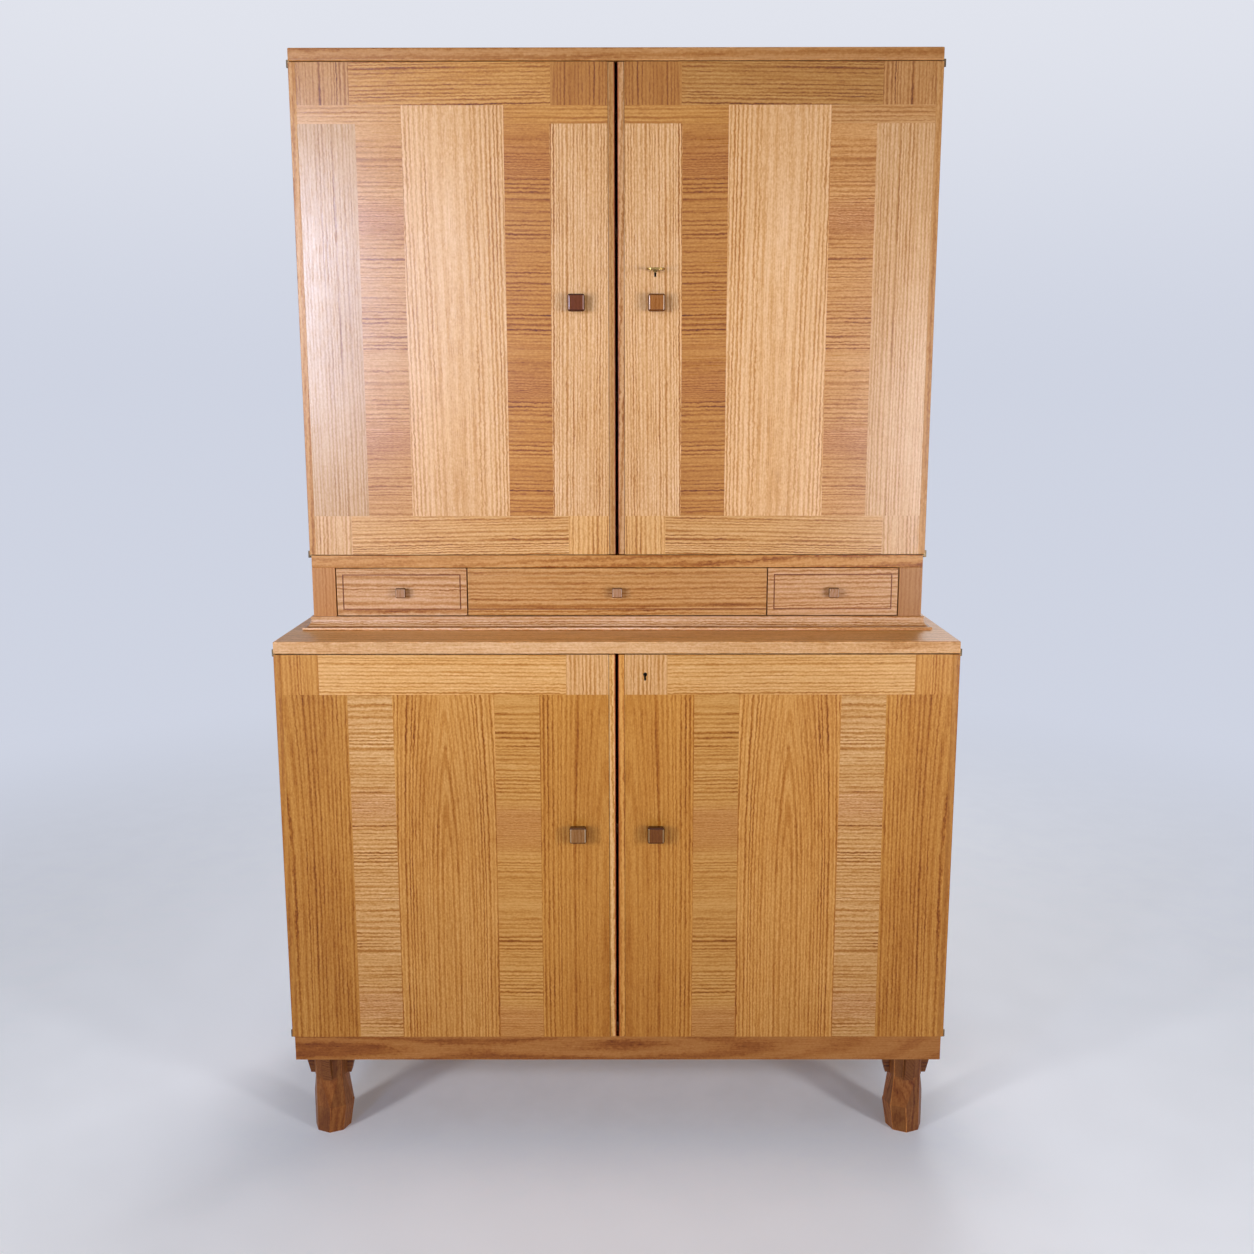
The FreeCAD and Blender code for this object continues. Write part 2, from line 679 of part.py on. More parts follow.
def barrel_bolt(stage):
    """Upright bolt on the back of a left door, with the socket that it rises into."""
    name = f"{stage}_left_door_bolt"
    back = f"{stage}_door_back"
    top = f"{stage}_door_high"
    x = place_on("left", "barrel_place")
    plate_z = (f"{top} - barrel_plate_drop - barrel_plate_length", f"{top} - barrel_plate_drop")
    plate_y = (back, f"{back} + barrel_plate_thickness")
    plate = board(f"{name}_base", about(x, "barrel_plate_width"), plate_y, plate_z)
    guide_y = (back, f"{back} + barrel_standoff + barrel_rod_radius + barrel_plate_thickness")
    guides = []
    for end, low in (("upper", f"{plate_z[1]} - barrel_guide_margin - barrel_guide_length"),
                     ("lower", f"{plate_z[0]} + barrel_guide_margin")):
        guide_z = (low, f"{low} + barrel_guide_length")
        guides.append(board(f"{name}_{end}_guide", about(x, "barrel_guide_width"), guide_y, guide_z))
    y = f"{back} + barrel_standoff"
    bore = rod(f"{name}_bore", "z", x, y, widened(plate_z, "cut_overshoot"),
               "barrel_rod_radius + barrel_rod_clearance")
    solid = join(f"{name}_plate_solid", [plate] + guides)
    node(f"{name}_plate", cut(f"{name}_plate", solid, [bore]))
    rod_z = (f"{top} - barrel_rod_drop - barrel_rod_length", f"{top} - barrel_rod_drop")
    shaft = rod(f"{name}_shaft", "z", x, y, rod_z, "barrel_rod_radius")
    thumb = rod(f"{name}_thumb", "y", x, (y, f"{y} + barrel_thumb_reach"), f"{top} - barrel_thumb_drop",
                "barrel_thumb_radius")
    node(name, join(name, [shaft, thumb]))
    ceiling = "top_bottom" if stage == "upper" else "waist_bottom"
    socket_z = (f"{ceiling} - cut_overshoot", f"{ceiling} + barrel_socket_depth")
    return rod(f"{name}_socket", "z", x, y, socket_z, "barrel_rod_radius + barrel_socket_clearance")


def upper_pattern():
    """Veneer leaves of an upper door: name, limits from the hinge edge, limits in height."""
    outer = ("lipping_width", "lipping_width + upper_outer_column")
    outer_cross = (outer[1], f"{outer[1]} + upper_cross_column")
    centre = (outer_cross[1], f"{outer_cross[1]} + upper_centre_column")
    inner_cross = (centre[1], f"{centre[1]} + upper_cross_column")
    field_end = "upper_door_width - lipping_width"
    inner = (inner_cross[1], field_end)
    top = ("upper_door_high - upper_top_row", "upper_door_high")
    second = (f"{top[0]} - upper_second_row", top[0])
    bottom = ("upper_door_low", "upper_door_low + upper_bottom_row")
    columns = (bottom[1], second[0])
    top_blocks = (f"{outer[0]} + upper_top_outer_block", f"{field_end} - upper_top_inner_block")
    bottom_blocks = (f"{outer[0]} + upper_bottom_outer_block", f"{field_end} - upper_bottom_inner_block")
    return [
        ("top_outer_block", (outer[0], top_blocks[0]), top),
        ("top_strip", top_blocks, top),
        ("top_inner_block", (top_blocks[1], field_end), top),
        ("second_outer_strip", (outer[0], centre[0]), second),
        ("second_inner_strip", (centre[1], field_end), second),
        ("outer_column", outer, columns),
        ("outer_cross_column", outer_cross, columns),
        ("centre_column", centre, (bottom[1], second[1])),
        ("inner_cross_column", inner_cross, columns),
        ("inner_column", inner, columns),
        ("bottom_outer_block", (outer[0], bottom_blocks[0]), bottom),
        ("bottom_strip", bottom_blocks, bottom),
        ("bottom_inner_block", (bottom_blocks[1], field_end), bottom),
    ]


def lower_pattern():
    """Veneer leaves of a lower door: name, limits from the hinge edge, limits in height."""
    outer = ("lipping_width", "lipping_width + lower_outer_column")
    outer_cross = (outer[1], f"{outer[1]} + lower_cross_column")
    centre = (outer_cross[1], f"{outer_cross[1]} + lower_centre_column")
    inner_cross = (centre[1], f"{centre[1]} + lower_cross_column")
    field_end = "lower_door_width - lipping_width"
    top = ("lower_door_high - lower_top_row", "lower_door_high")
    columns = ("lower_door_low", top[0])
    top_blocks = (f"{outer[0]} + lower_top_outer_block", f"{field_end} - lower_top_inner_block")
    return [
        ("top_outer_block", (outer[0], top_blocks[0]), top),
        ("top_strip", top_blocks, top),
        ("top_inner_block", (top_blocks[1], field_end), top),
        ("outer_column", outer, columns),
        ("outer_cross_column", outer_cross, columns),
        ("centre_column", centre, columns),
        ("inner_cross_column", inner_cross, columns),
        ("inner_column", (inner_cross[1], field_end), columns),
    ]


def door_span(side, half, limits):
    """Limits measured inwards from a door's hinge edge, as places in the press."""
    return span_on(side, f"{half} - ({limits[1]})", f"{half} - ({limits[0]})")


def door(stage, side, fittings):
    """Door panel with its lippings and veneer, its knob and its two hinges.

    fittings are the shapes let into the panel.  Returns the case leaves of the hinges, with screws.
    """
    name = f"{stage}_{side}_door"
    half = f"{stage}_half"
    width = f"{stage}_door_width"
    face = "upper_front" if stage == "upper" else "front_plane"
    z = (f"{stage}_door_low", f"{stage}_door_high")
    openings = ("deck_top", "top_bottom") if stage == "upper" else ("base_top", "waist_bottom")
    door_metal = []
    case_metal = []
    ends = (("lower", z[0], openings[0], "down"), ("upper", z[1], openings[1], "up"))
    for end, edge, opening, way in ends:
        door_side, case_side = hinge(f"{name}_{end}_hinge", side, stage, edge, opening, way)
        door_metal += door_side
        case_metal += case_side
    node(f"{name}_hinge_leaves", group(f"{name}_hinge_leaves", door_metal))
    knob_x = place_on(side, f"{stage}_knob_offset")
    tenon = knob(f"{name}_knob", "door", knob_x, face, f"{z[0]} + {stage}_knob_height")
    holes = [tenon]
    if side == "right":
        holes.append(keyhole(f"{name}_keyhole", stage))
    thickness = (face, f"{stage}_door_back")
    core = board(f"{name}_core_blank", door_span(side, half, ("lipping_width", f"{width} - lipping_width")),
                 (f"{face} + veneer_thickness", thickness[1]), z)
    outer = board(f"{name}_outer_lipping_blank", door_span(side, half, ("0", "lipping_width")), thickness, z)
    inner = board(f"{name}_inner_lipping_blank", door_span(side, half, (f"{width} - lipping_width", width)),
                  thickness, z)
    panel = [
        cut(f"{name}_core", core, door_metal + fittings + holes),
        cut(f"{name}_outer_lipping", outer, door_metal),
        cut(f"{name}_inner_lipping", inner, fittings) if fittings else inner,
    ]
    node(f"{name}_panel", group(f"{name}_panel", panel))
    leaves = []
    for leaf, limits, height in upper_pattern() if stage == "upper" else lower_pattern():
        blank = board(f"{name}_{leaf}_blank", door_span(side, half, limits),
                      (face, f"{face} + veneer_thickness"), height)
        leaves.append(cut(f"{name}_{leaf}_leaf", blank, holes))
    node(f"{name}_veneer", group(f"{name}_veneer", leaves))
    return case_metal


def leg_bolt(name, x, y):
    """Bolt down through the base's corner block and the brackets into the leg."""
    head_z = ("base_top - leg_bolt_head_height", "base_top")
    shank_z = ("bracket_bottom - leg_bolt_bite", "base_top")
    head = rod(f"{name}_head", "z", x, y, head_z, "leg_bolt_head_radius")
    shank = rod(f"{name}_shank", "z", x, y, shank_z, "leg_bolt_radius")
    return join(name, [head, shank])


def leg_brackets(name, x, y, bolt):
    """Two half-lapped boards that taper downwards and cross in the leg's slot."""
    upright = FreeCAD.Rotation(FreeCAD.Vector(1, 0, 0), 90)
    turned = FreeCAD.Rotation(FreeCAD.Vector(0, 0, 1), 90).multiply(upright)
    z = ("bracket_bottom", "leg_height")
    halves = {"upper": about("(bracket_bottom + leg_height * 3) / 4", "bracket_height / 2"),
              "lower": about("(bracket_bottom * 3 + leg_height) / 4", "bracket_height / 2")}
    thickness = about("0", "bracket_thickness")
    boards = []
    for way, rotation, lap in (("side", upright, "upper"), ("depth", turned, "lower")):
        blank = wedge(f"{name}_{way}_blank", z, across("bracket_half_length - bracket_taper"),
                      across("bracket_half_length"), thickness, thickness, rotation, (x, y, "0"))
        notch = board(f"{name}_{way}_notch", about(x, "bracket_thickness"), about(y, "bracket_thickness"),
                      halves[lap])
        boards.append(cut(f"{name}_{way}", blank, [notch, bolt]))
    return boards


def leg(name, side, x, y, bolt):
    """Eight-sided leg with a knee, cross-slotted at the top, its ridges shaved between slot and knee."""
    outward = 1 if side == "right" else -1
    sections = []
    for level, height, radius, shift in (
            ("foot", "0", "leg_foot_radius", "leg_foot_shift"),
            ("knee", "leg_knee_height", "leg_knee_radius", "0 - leg_knee_shift"),
            ("neck", "bracket_bottom", "leg_neck_radius", "0"),
            ("head", "leg_height", "leg_top_radius", "0")):
        section = doc.addObject("Part::RegularPolygon", f"{name}_{level}")
        section.Polygon = LEG_SIDES
        bind(section, {"Circumradius": radius})
        sections.append(bind(section, spot(f"{x} + {outward} * ({shift})", y, height)))
    block = doc.addObject("Part::Loft", f"{name}_block")
    block.Sections = sections
    block.Solid = True
    block.Ruled = True
    slot_z = ("bracket_bottom", "leg_height + cut_overshoot")
    reach = "2 * leg_knee_radius"
    slots = [board(f"{name}_side_slot", about(x, reach), about(y, "bracket_thickness"), slot_z),
             board(f"{name}_depth_slot", about(x, "bracket_thickness"), about(y, reach), slot_z)]
    upright = FreeCAD.Rotation(FreeCAD.Vector(1, 0, 0), 90)
    shaves = []
    for quarter in range(4):
        rotation = FreeCAD.Rotation(FreeCAD.Vector(0, 0, 1), 90 * quarter).multiply(upright)
        shaves.append(wedge(
            f"{name}_shave_{quarter}", ("leg_knee_height", "bracket_bottom"),
            across("leg_neck_radius"), across("leg_neck_radius"),
            ("leg_knee_radius", reach), ("leg_neck_radius - leg_shave_depth", reach), rotation, (x, y, "0")))
    node(name, cut(name, block, slots + shaves + [bolt]))


def legs():
    """Four legs with their brackets; returns the bolt that holds each."""
    boards = []
    bolts = {}
    for depth in ("front", "rear"):
        for side in SIDES:
            name = f"leg_{depth}_{side}"
            x = place_on(side, "leg_side_place")
            y = f"leg_{depth}_place"
            bolt = leg_bolt(f"{name}_bolt", x, y)
            leg(name, side, x, y, bolt)
            boards += leg_brackets(f"{name}_bracket", x, y, bolt)
            bolts[depth, side] = bolt
    node("leg_cross_brackets", group("leg_cross_brackets", boards))
    return bolts


def base_frame(bolts, case_metal):
    """Four rails round the foot of the lower stage, with a block in each corner for the leg."""
    z = ("leg_height", "base_top")
    rail = "base_rail_thickness"
    front_y = ("base_front", f"base_front + {rail}")
    rear_y = (f"back_plane - {rail}", "back_plane")
    front = board("base_front_blank", across("base_half"), front_y, z)
    rear = board("base_rear_rail", across("base_half"), rear_y, z)
    pieces = [cut("base_front_rail", front, case_metal), rear]
    for side in SIDES:
        side_x = span_on(side, f"base_half - {rail}", "base_half")
        pieces.append(board(f"base_{side}_rail", side_x, (front_y[1], rear_y[0]), z))
    blocks_y = {"front": (front_y[1], f"{front_y[1]} + corner_block_length"),
                "rear": (f"{rear_y[0]} - corner_block_length", rear_y[0])}
    for depth, block_y in blocks_y.items():
        for side in SIDES:
            block_x = span_on(side, f"base_half - {rail} - corner_block_length", f"base_half - {rail}")
            block = board(f"base_{depth}_{side}_block_blank", block_x, block_y, z)
            pieces.append(cut(f"base_{depth}_{side}_block", block, [bolts[depth, side]]))
    node("base_frame", group("base_frame", pieces))


def peg_places(stage, shelf_levels):
    """Depth and height of each peg hole of one case side, and whether a peg fills it."""
    front = f"{stage}_case_front + shelf_setback + peg_inset"
    rear = "panel_front - peg_inset"
    places = []
    for level in shelf_levels:
        middle = f"{level} - peg_radius - peg_clearance"
        for depth in (front, rear):
            places.append((depth, middle, True))
            places.append((depth, f"{middle} + peg_pitch", False))
            places.append((depth, f"{middle} - peg_pitch", False))
    return places


def shelves():
    """Loose shelves of both stages on pegs; returns the shapes of the peg holes for each side."""
    stages = {"lower": ["lower_floor_top + lower_shelf_height"],
              "upper": ["deck_top + upper_first_shelf_height", "deck_top + upper_second_shelf_height"]}
    boards = []
    pegs = []
    holes = {}
    for stage, levels in stages.items():
        y = (f"{stage}_case_front + shelf_setback", "panel_front - shelf_end_gap")
        for number, level in enumerate(levels):
            boards.append(board(f"{stage}_shelf_{number}", across(f"{stage}_side_in - shelf_end_gap"), y,
                                (level, f"{level} + shelf_thickness")))
        for side in SIDES:
            drilled = []
            for number, (depth, height, filled) in enumerate(peg_places(stage, levels)):
                name = f"{stage}_{side}_peg_{number}"
                start = f"{stage}_side_in - " + ("peg_reach" if filled else "cut_overshoot")
                x = span_on(side, start, f"{stage}_side_in + peg_depth")
                drilled.append(rod(name, "x", x, depth, height, "peg_radius"))
                if filled:
                    pegs.append(drilled[-1])
            holes[stage, side] = drilled
    node("shelves", group("shelves", boards))
    node("shelf_pegs", group("shelf_pegs", pegs))
    return holes


def back_screws(stage, levels, board_levels):
    """Screws that hold a back panel: up both sides and along the boards that it covers."""
    y = ("back_plane - case_screw_length", "back_plane")
    edge = f"{stage}_side_in + back_rebate / 2"
    places = [(place_on(side, edge), level) for side in SIDES for level in levels]
    places += [(x, level) for level in board_levels
               for x in (place_on("left", f"{stage}_side_in / 2"), "0", f"{stage}_side_in / 2")]
    return [countersunk(f"{stage}_back_screw_{number}", "y", x, y, z, "case_screw", True)
            for number, (x, z) in enumerate(places)]


def spread(low, high, count):
    """Evenly spaced places between two limits, both included."""
    return [f"{low} + (({high}) - ({low})) * {step} / {count - 1}" for step in range(count)]


def locating_dowels():
    """Dowels that keep the upper stage in its place on the waist board."""
    dowels = []
    for depth, y in (("front", "upper_case_front + dowel_y_inset"), ("rear", "panel_front - dowel_y_inset")):
        for side in SIDES:
            x = place_on(side, "upper_side_in - dowel_x_inset")
            z = ("waist_top - dowel_depth", "waist_top + dowel_depth")
            dowels.append(rod(f"dowel_{depth}_{side}", "z", x, y, z, "dowel_radius"))
    return dowels


def lower_case(peg_holes, waist_fittings, dowels):
    """Sides, floor, back and waist board of the lower stage; returns the back's screws."""
    floor = board("lower_bottom_board_blank", across("lower_side_in + housing_depth"),
                  ("lower_case_front", "panel_front"), ("base_top", "lower_floor_top"))
    panel = board("lower_back_panel_blank", across("lower_side_in + back_rebate"),
                  ("panel_front", "back_plane"), ("base_top", "waist_bottom"))
    margin = "case_screw_margin"
    levels = spread(f"base_top + {margin}", f"waist_bottom - {margin}", LOWER_BACK_SCREWS)
    screws = back_screws("lower", levels, ["base_top + floor_thickness / 2"])
    sides = []
    for side in SIDES:
        blank = board(f"lower_{side}_side_blank", span_on(side, "lower_side_in", "lower_side_out"),
                      ("lower_case_front", "back_plane"), ("base_top", "waist_bottom + housing_depth"))
        sides.append(blank)
        node(f"lower_{side}_side",
             cut(f"lower_{side}_side", blank, [floor, panel] + peg_holes["lower", side] + screws))
    node("lower_bottom_board", cut("lower_bottom_board", floor, screws))
    node("lower_back_panel", cut("lower_back_panel", panel, screws))
    waist = board("waist_board_blank", across("lower_half"), ("front_plane", "back_plane"),
                  ("waist_bottom", "waist_top"))
    node("waist_board", cut("waist_board", waist, sides + waist_fittings + dowels))
    return screws


def upper_case(peg_holes, top_fittings, deck_fittings, dowels):
    """Sides, floor, deck, posts, dividers, back and top of the upper stage; returns the back's screws."""
    housed = across("upper_side_in + housing_depth")
    deep = ("upper_case_front", "panel_front")
    nose = ("rail_front", "upper_case_front")
    floor_z = ("waist_top", "moulding_top")
    floor = join("upper_bottom_board_blank", [
        board("upper_floor_main", housed, deep, floor_z),
        board("upper_floor_nose", across("post_in"), nose, floor_z)])
    deck_z = ("deck_bottom", "deck_top")
    deck = join("drawer_deck_blank", [
        board("deck_main", housed, deep, deck_z),
        board("deck_nose", across("upper_side_out"), nose, deck_z)])
    panel = board("upper_back_panel_blank", across("upper_side_in + back_rebate"),
                  ("panel_front", "back_plane"), ("waist_top", "top_bottom"))
    margin = "case_screw_margin"
    levels = spread(f"waist_top + {margin}", f"top_bottom - {margin}", UPPER_BACK_SCREWS)
    screws = back_screws("upper", levels,
                         ["waist_top + moulding_height / 2", "deck_bottom + deck_thickness / 2"])
    sides = []
    posts = []
    dividers = []
    divider_z = ("moulding_top", "deck_bottom")
    for side in SIDES:
        blank = board(f"upper_{side}_side_blank", span_on(side, "upper_side_in", "upper_side_out"),
                      ("upper_case_front", "back_plane"), ("waist_top", "top_bottom + housing_depth"))
        sides.append(blank)
        node(f"upper_{side}_side",
             cut(f"upper_{side}_side", blank, [floor, deck, panel] + peg_holes["upper", side] + screws))
        posts.append(board(f"drawer_post_{side}", span_on(side, "post_in", "upper_side_out"), nose,
                           ("waist_top", "deck_bottom")))
        dividers.append(board(f"drawer_guide_{side}", span_on(side, "drawer_out", "upper_side_in"), deep,
                              divider_z))
        dividers.append(board(f"drawer_divider_{side}",
                              about(place_on(side, "divider_centre"), "divider_thickness"),
                              ("divider_front", "panel_front"), divider_z))
    node("drawer_posts", group("drawer_posts", posts))
    node("drawer_dividers", group("drawer_dividers", dividers))
    node("upper_bottom_board", cut("upper_bottom_board", floor, screws + dowels))
    node("drawer_deck", cut("drawer_deck", deck, screws + deck_fittings))
    node("upper_back_panel", cut("upper_back_panel", panel, screws))
    top = board("top_board_blank", across("upper_half"), ("upper_front", "back_plane"),
                ("top_bottom", "top_top"))
    node("top_board", cut("top_board", top, sides + top_fittings))
    return screws


def moulding_piece(name, block, line, mitres):
    """Moulding of one face: a block with a hollow in it, over a bead, mitred at its corners.

    block(part, out, up) makes a board along the face and line(part, out, up, radius) a cylinder.
    """
    bead = "moulding_bead_height"
    body = block("body", ("0", "moulding_hollow_foot"), ("0", "moulding_height"))
    fillet = block("fillet", ("0", f"moulding_reach - {bead} / 2"), ("0", bead))
    nose = line("nose", f"moulding_reach - {bead} / 2", f"{bead} / 2", f"{bead} / 2")
    run = "(moulding_hollow_foot - moulding_ledge)"
    rise = f"(moulding_height - {bead})"
    chord = f"sqrt({run} * {run} + {rise} * {rise})"
    bow = f"sqrt(moulding_hollow_radius * moulding_hollow_radius - {chord} * {chord} / 4) / {chord}"
    hollow = line("hollow", f"(moulding_hollow_foot + moulding_ledge) / 2 + {bow} * {rise}",
                  f"(moulding_height + {bead}) / 2 + {bow} * {run}", "moulding_hollow_radius")
    hollowed = cut(f"{name}_hollowed", body, [hollow])
    return cut(name, join(f"{name}_solid", [hollowed, fillet, nose]), mitres)


def waist_moulding():
    """Three mitred lengths of moulding round the foot of the upper stage."""
    edge = "upper_side_out"
    corner_y = ("rail_front - moulding_reach", "rail_front")
    along = {"front": across(f"{edge} + moulding_reach"), "side": (corner_y[0], "back_plane")}
    height = ("waist_top - cut_overshoot", "moulding_top + cut_overshoot")
    front_mitres = []
    lengths = []
    for side in SIDES:
        name = f"moulding_{side}"
        corner = f"{edge} + moulding_reach"
        beyond = f"{corner} + cut_overshoot"
        within = f"{edge} - cut_overshoot"
        front_mitres.append(wedge(f"{name}_front_mitre", corner_y, span_on(side, corner, beyond),
                                  span_on(side, edge, beyond), height, height))
        mitre = wedge(f"{name}_mitre", corner_y, span_on(side, within, corner), span_on(side, within, edge),
                      height, height)

        def side_block(part, out, up, name=name, side=side):
            x = span_on(side, f"{edge} + {out[0]}", f"{edge} + {out[1]}")
            return board(f"{name}_{part}", x, along["side"], span_from("waist_top", "up", *up))

        def side_line(part, out, up, radius, name=name, side=side):
            x = place_on(side, f"{edge} + {out}")
            return rod(f"{name}_{part}", "y", x, along["side"], f"waist_top + {up}", radius)

        lengths.append(moulding_piece(name, side_block, side_line, [mitre]))

    def front_block(part, out, up):
        y = (f"rail_front - ({out[1]})", f"rail_front - ({out[0]})")
        return board(f"moulding_front_{part}", along["front"], y, span_from("waist_top", "up", *up))

    def front_line(part, out, up, radius):
        y = f"rail_front - ({out})"
        return rod(f"moulding_front_{part}", "x", along["front"], y, f"waist_top + {up}", radius)

    lengths.append(moulding_piece("moulding_front", front_block, front_line, front_mitres))
    node("waist_moulding", group("waist_moulding", lengths))


def drawer_borders(name, x, z, with_ends):
    """Scratched lines near the edges of a drawer's face: along the top and bottom, and at the ends."""
    y = ("rail_front - cut_overshoot", "rail_front + border_depth")
    inner_x = (f"{x[0]} + border_inset", f"{x[1]} - border_inset")
    inner_z = (f"{z[0]} + border_inset", f"{z[1]} - border_inset")
    along_x = inner_x if with_ends else widened(x, "cut_overshoot")
    lines = [
        board(f"{name}_low_line", along_x, y, (inner_z[0], f"{inner_z[0]} + border_width")),
        board(f"{name}_high_line", along_x, y, (f"{inner_z[1]} - border_width", inner_z[1]))]
    if with_ends:
        lines.append(board(f"{name}_left_line", (inner_x[0], f"{inner_x[0]} + border_width"), y, inner_z))
        lines.append(board(f"{name}_right_line", (f"{inner_x[1]} - border_width", inner_x[1]), y, inner_z))
    return lines


def drawer(name, face_x, box_x, with_ends):
    """Drawer: face, two sides tongued into it, back and bottom in grooves, and a knob."""
    face_z = ("moulding_top + drawer_edge_gap", "deck_bottom - drawer_edge_gap")
    side_y = ("drawer_front_back", "drawer_end")
    side_z = ("drawer_side_low", "drawer_side_high")
    inside = (f"{box_x[0]} + drawer_side_thickness", f"{box_x[1]} - drawer_side_thickness")
    bottom = board(f"{name}_bottom", widened(inside, "drawer_groove_depth"),
                   ("drawer_front_back - drawer_groove_depth", "drawer_end"),
                   ("drawer_bottom_low", "drawer_bottom_high"))
    back_y = ("drawer_end - drawer_back_inset - drawer_side_thickness", "drawer_end - drawer_back_inset")
    back = board(f"{name}_back", widened(inside, "drawer_groove_depth"), back_y,
                 ("drawer_bottom_high", "drawer_side_high - drawer_back_drop"))
    tongue_y = ("drawer_front_back - drawer_tongue_depth", "drawer_front_back")
    sides = []
    for side, wall, tongue_x in (
            ("left", (box_x[0], inside[0]), (f"{inside[0]} - drawer_tongue_thickness", inside[0])),
            ("right", (inside[1], box_x[1]), (inside[1], f"{inside[1]} + drawer_tongue_thickness"))):
        plank = board(f"{name}_{side}_plank", wall, side_y, side_z)
        tongue = board(f"{name}_{side}_tongue", tongue_x, tongue_y, (face_z[0], side_z[1]))
        blank = join(f"{name}_{side}_blank", [plank, tongue])
        sides.append(cut(f"{name}_{side}_side", blank, [bottom, back]))
    node(f"{name}_box", group(f"{name}_box", sides + [back, bottom]))
    centre_x = f"(({face_x[0]}) + ({face_x[1]})) / 2"
    tenon = knob(f"{name}_knob", "drawer", centre_x, "rail_front", "(moulding_top + deck_bottom) / 2")
    blank = board(f"{name}_face_blank", face_x, ("rail_front", "drawer_front_back"), face_z)
    lines = drawer_borders(name, face_x, face_z, with_ends)
    node(f"{name}_front", cut(f"{name}_front", blank, lines + sides + [bottom, tenon]))


def drawers():
    """Two small drawers beside a wide one."""
    half_gap = "drawer_gap / 2"
    beside = "(divider_thickness / 2 + drawer_guide_clearance)"
    for side in SIDES:
        drawer(f"{side}_drawer", span_on(side, f"divider_centre + {half_gap}", "drawer_out"),
               span_on(side, f"divider_centre + {beside}", "drawer_out - drawer_guide_clearance"), True)
    drawer("middle_drawer", across(f"divider_centre - {half_gap}"), across(f"divider_centre - {beside}"),
           False)


def check_document():
    """Stop if any object failed or any sub-part's shape is empty or not valid."""
    for piece in doc.Objects:
        if {"Invalid", "Error"} & set(piece.State):
            raise RuntimeError(f"{piece.Name} did not build: {piece.State}")
    for piece in nodes:
        if piece.Shape.isNull() or not piece.Shape.isValid() or not piece.Shape.Solids:
            raise RuntimeError(f"{piece.Label} has no valid shape")


def write_parts():
    """Write each sub-part to a file of its own."""
    os.makedirs("parts", exist_ok=True)
    for piece in nodes:
        piece.Shape.exportStep(f"parts/{piece.Label}.step")


def build():
    """Make every sub-part, from the fittings that others are cut for to the cases that hold them."""
    upper_block, strike = upper_lock()
    lower_block, keeper = lower_lock()
    key()
    upper_socket = barrel_bolt("upper")
    lower_socket = barrel_bolt("lower")
    case_metal = {
        ("upper", "left"): door("upper", "left", strike),
        ("upper", "right"): door("upper", "right", [upper_block]),
        ("lower", "left"): door("lower", "left", []),
        ("lower", "right"): door("lower", "right", [lower_block]),
    }
    node("case_hinge_leaves", group("case_hinge_leaves", sum(case_metal.values(), [])))
    upper_metal = case_metal["upper", "left"] + case_metal["upper", "right"]
    lower_metal = case_metal["lower", "left"] + case_metal["lower", "right"]
    bolts = legs()
    base_frame(bolts, lower_metal)
    peg_holes = shelves()
    dowels = locating_dowels()
    screws = lower_case(peg_holes, lower_metal + [keeper, lower_socket], dowels)
    screws += upper_case(peg_holes, upper_metal + [upper_socket], upper_metal, dowels)
    waist_moulding()
    drawers()
    node("case_fasteners", group("case_fasteners", screws + dowels + list(bolts.values())))
    doc.recompute()


build()
check_document()
write_parts()
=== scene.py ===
"""Looks of a two-stage linen press: lacquered veneer, solid wood and small metal fittings.

Metres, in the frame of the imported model: +Z is up, the front faces -Y and +X is to the right.
"""
import json
import math
import random

import bmesh
import bpy
from mathutils import Matrix, Vector


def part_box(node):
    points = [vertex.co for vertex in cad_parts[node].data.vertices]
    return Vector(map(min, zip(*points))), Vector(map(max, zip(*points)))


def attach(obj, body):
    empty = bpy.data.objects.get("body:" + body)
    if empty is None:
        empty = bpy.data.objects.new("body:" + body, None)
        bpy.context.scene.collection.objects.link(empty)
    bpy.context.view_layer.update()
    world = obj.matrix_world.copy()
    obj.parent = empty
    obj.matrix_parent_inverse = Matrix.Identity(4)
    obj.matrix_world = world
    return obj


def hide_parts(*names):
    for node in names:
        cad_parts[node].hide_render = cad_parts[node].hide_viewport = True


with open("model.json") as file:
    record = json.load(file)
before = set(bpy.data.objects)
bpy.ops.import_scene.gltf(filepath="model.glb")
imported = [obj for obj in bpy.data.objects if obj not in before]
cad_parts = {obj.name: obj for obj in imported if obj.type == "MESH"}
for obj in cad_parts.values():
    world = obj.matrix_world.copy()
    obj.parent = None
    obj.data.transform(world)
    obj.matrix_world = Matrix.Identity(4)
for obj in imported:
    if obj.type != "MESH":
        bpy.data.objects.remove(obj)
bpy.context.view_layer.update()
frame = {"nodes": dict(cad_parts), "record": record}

X, Y, Z = 0, 1, 2

# When points count as one, faces as flat, edges as creased, those of an eased arris as sharp, and places
# as equal
WELD = 2e-6
FLAT_ANGLE = math.radians(0.4)
CREASE_ANGLE = math.radians(26)
ARRIS_ANGLE = math.radians(60)
EDGE_TOLERANCE = 2e-5

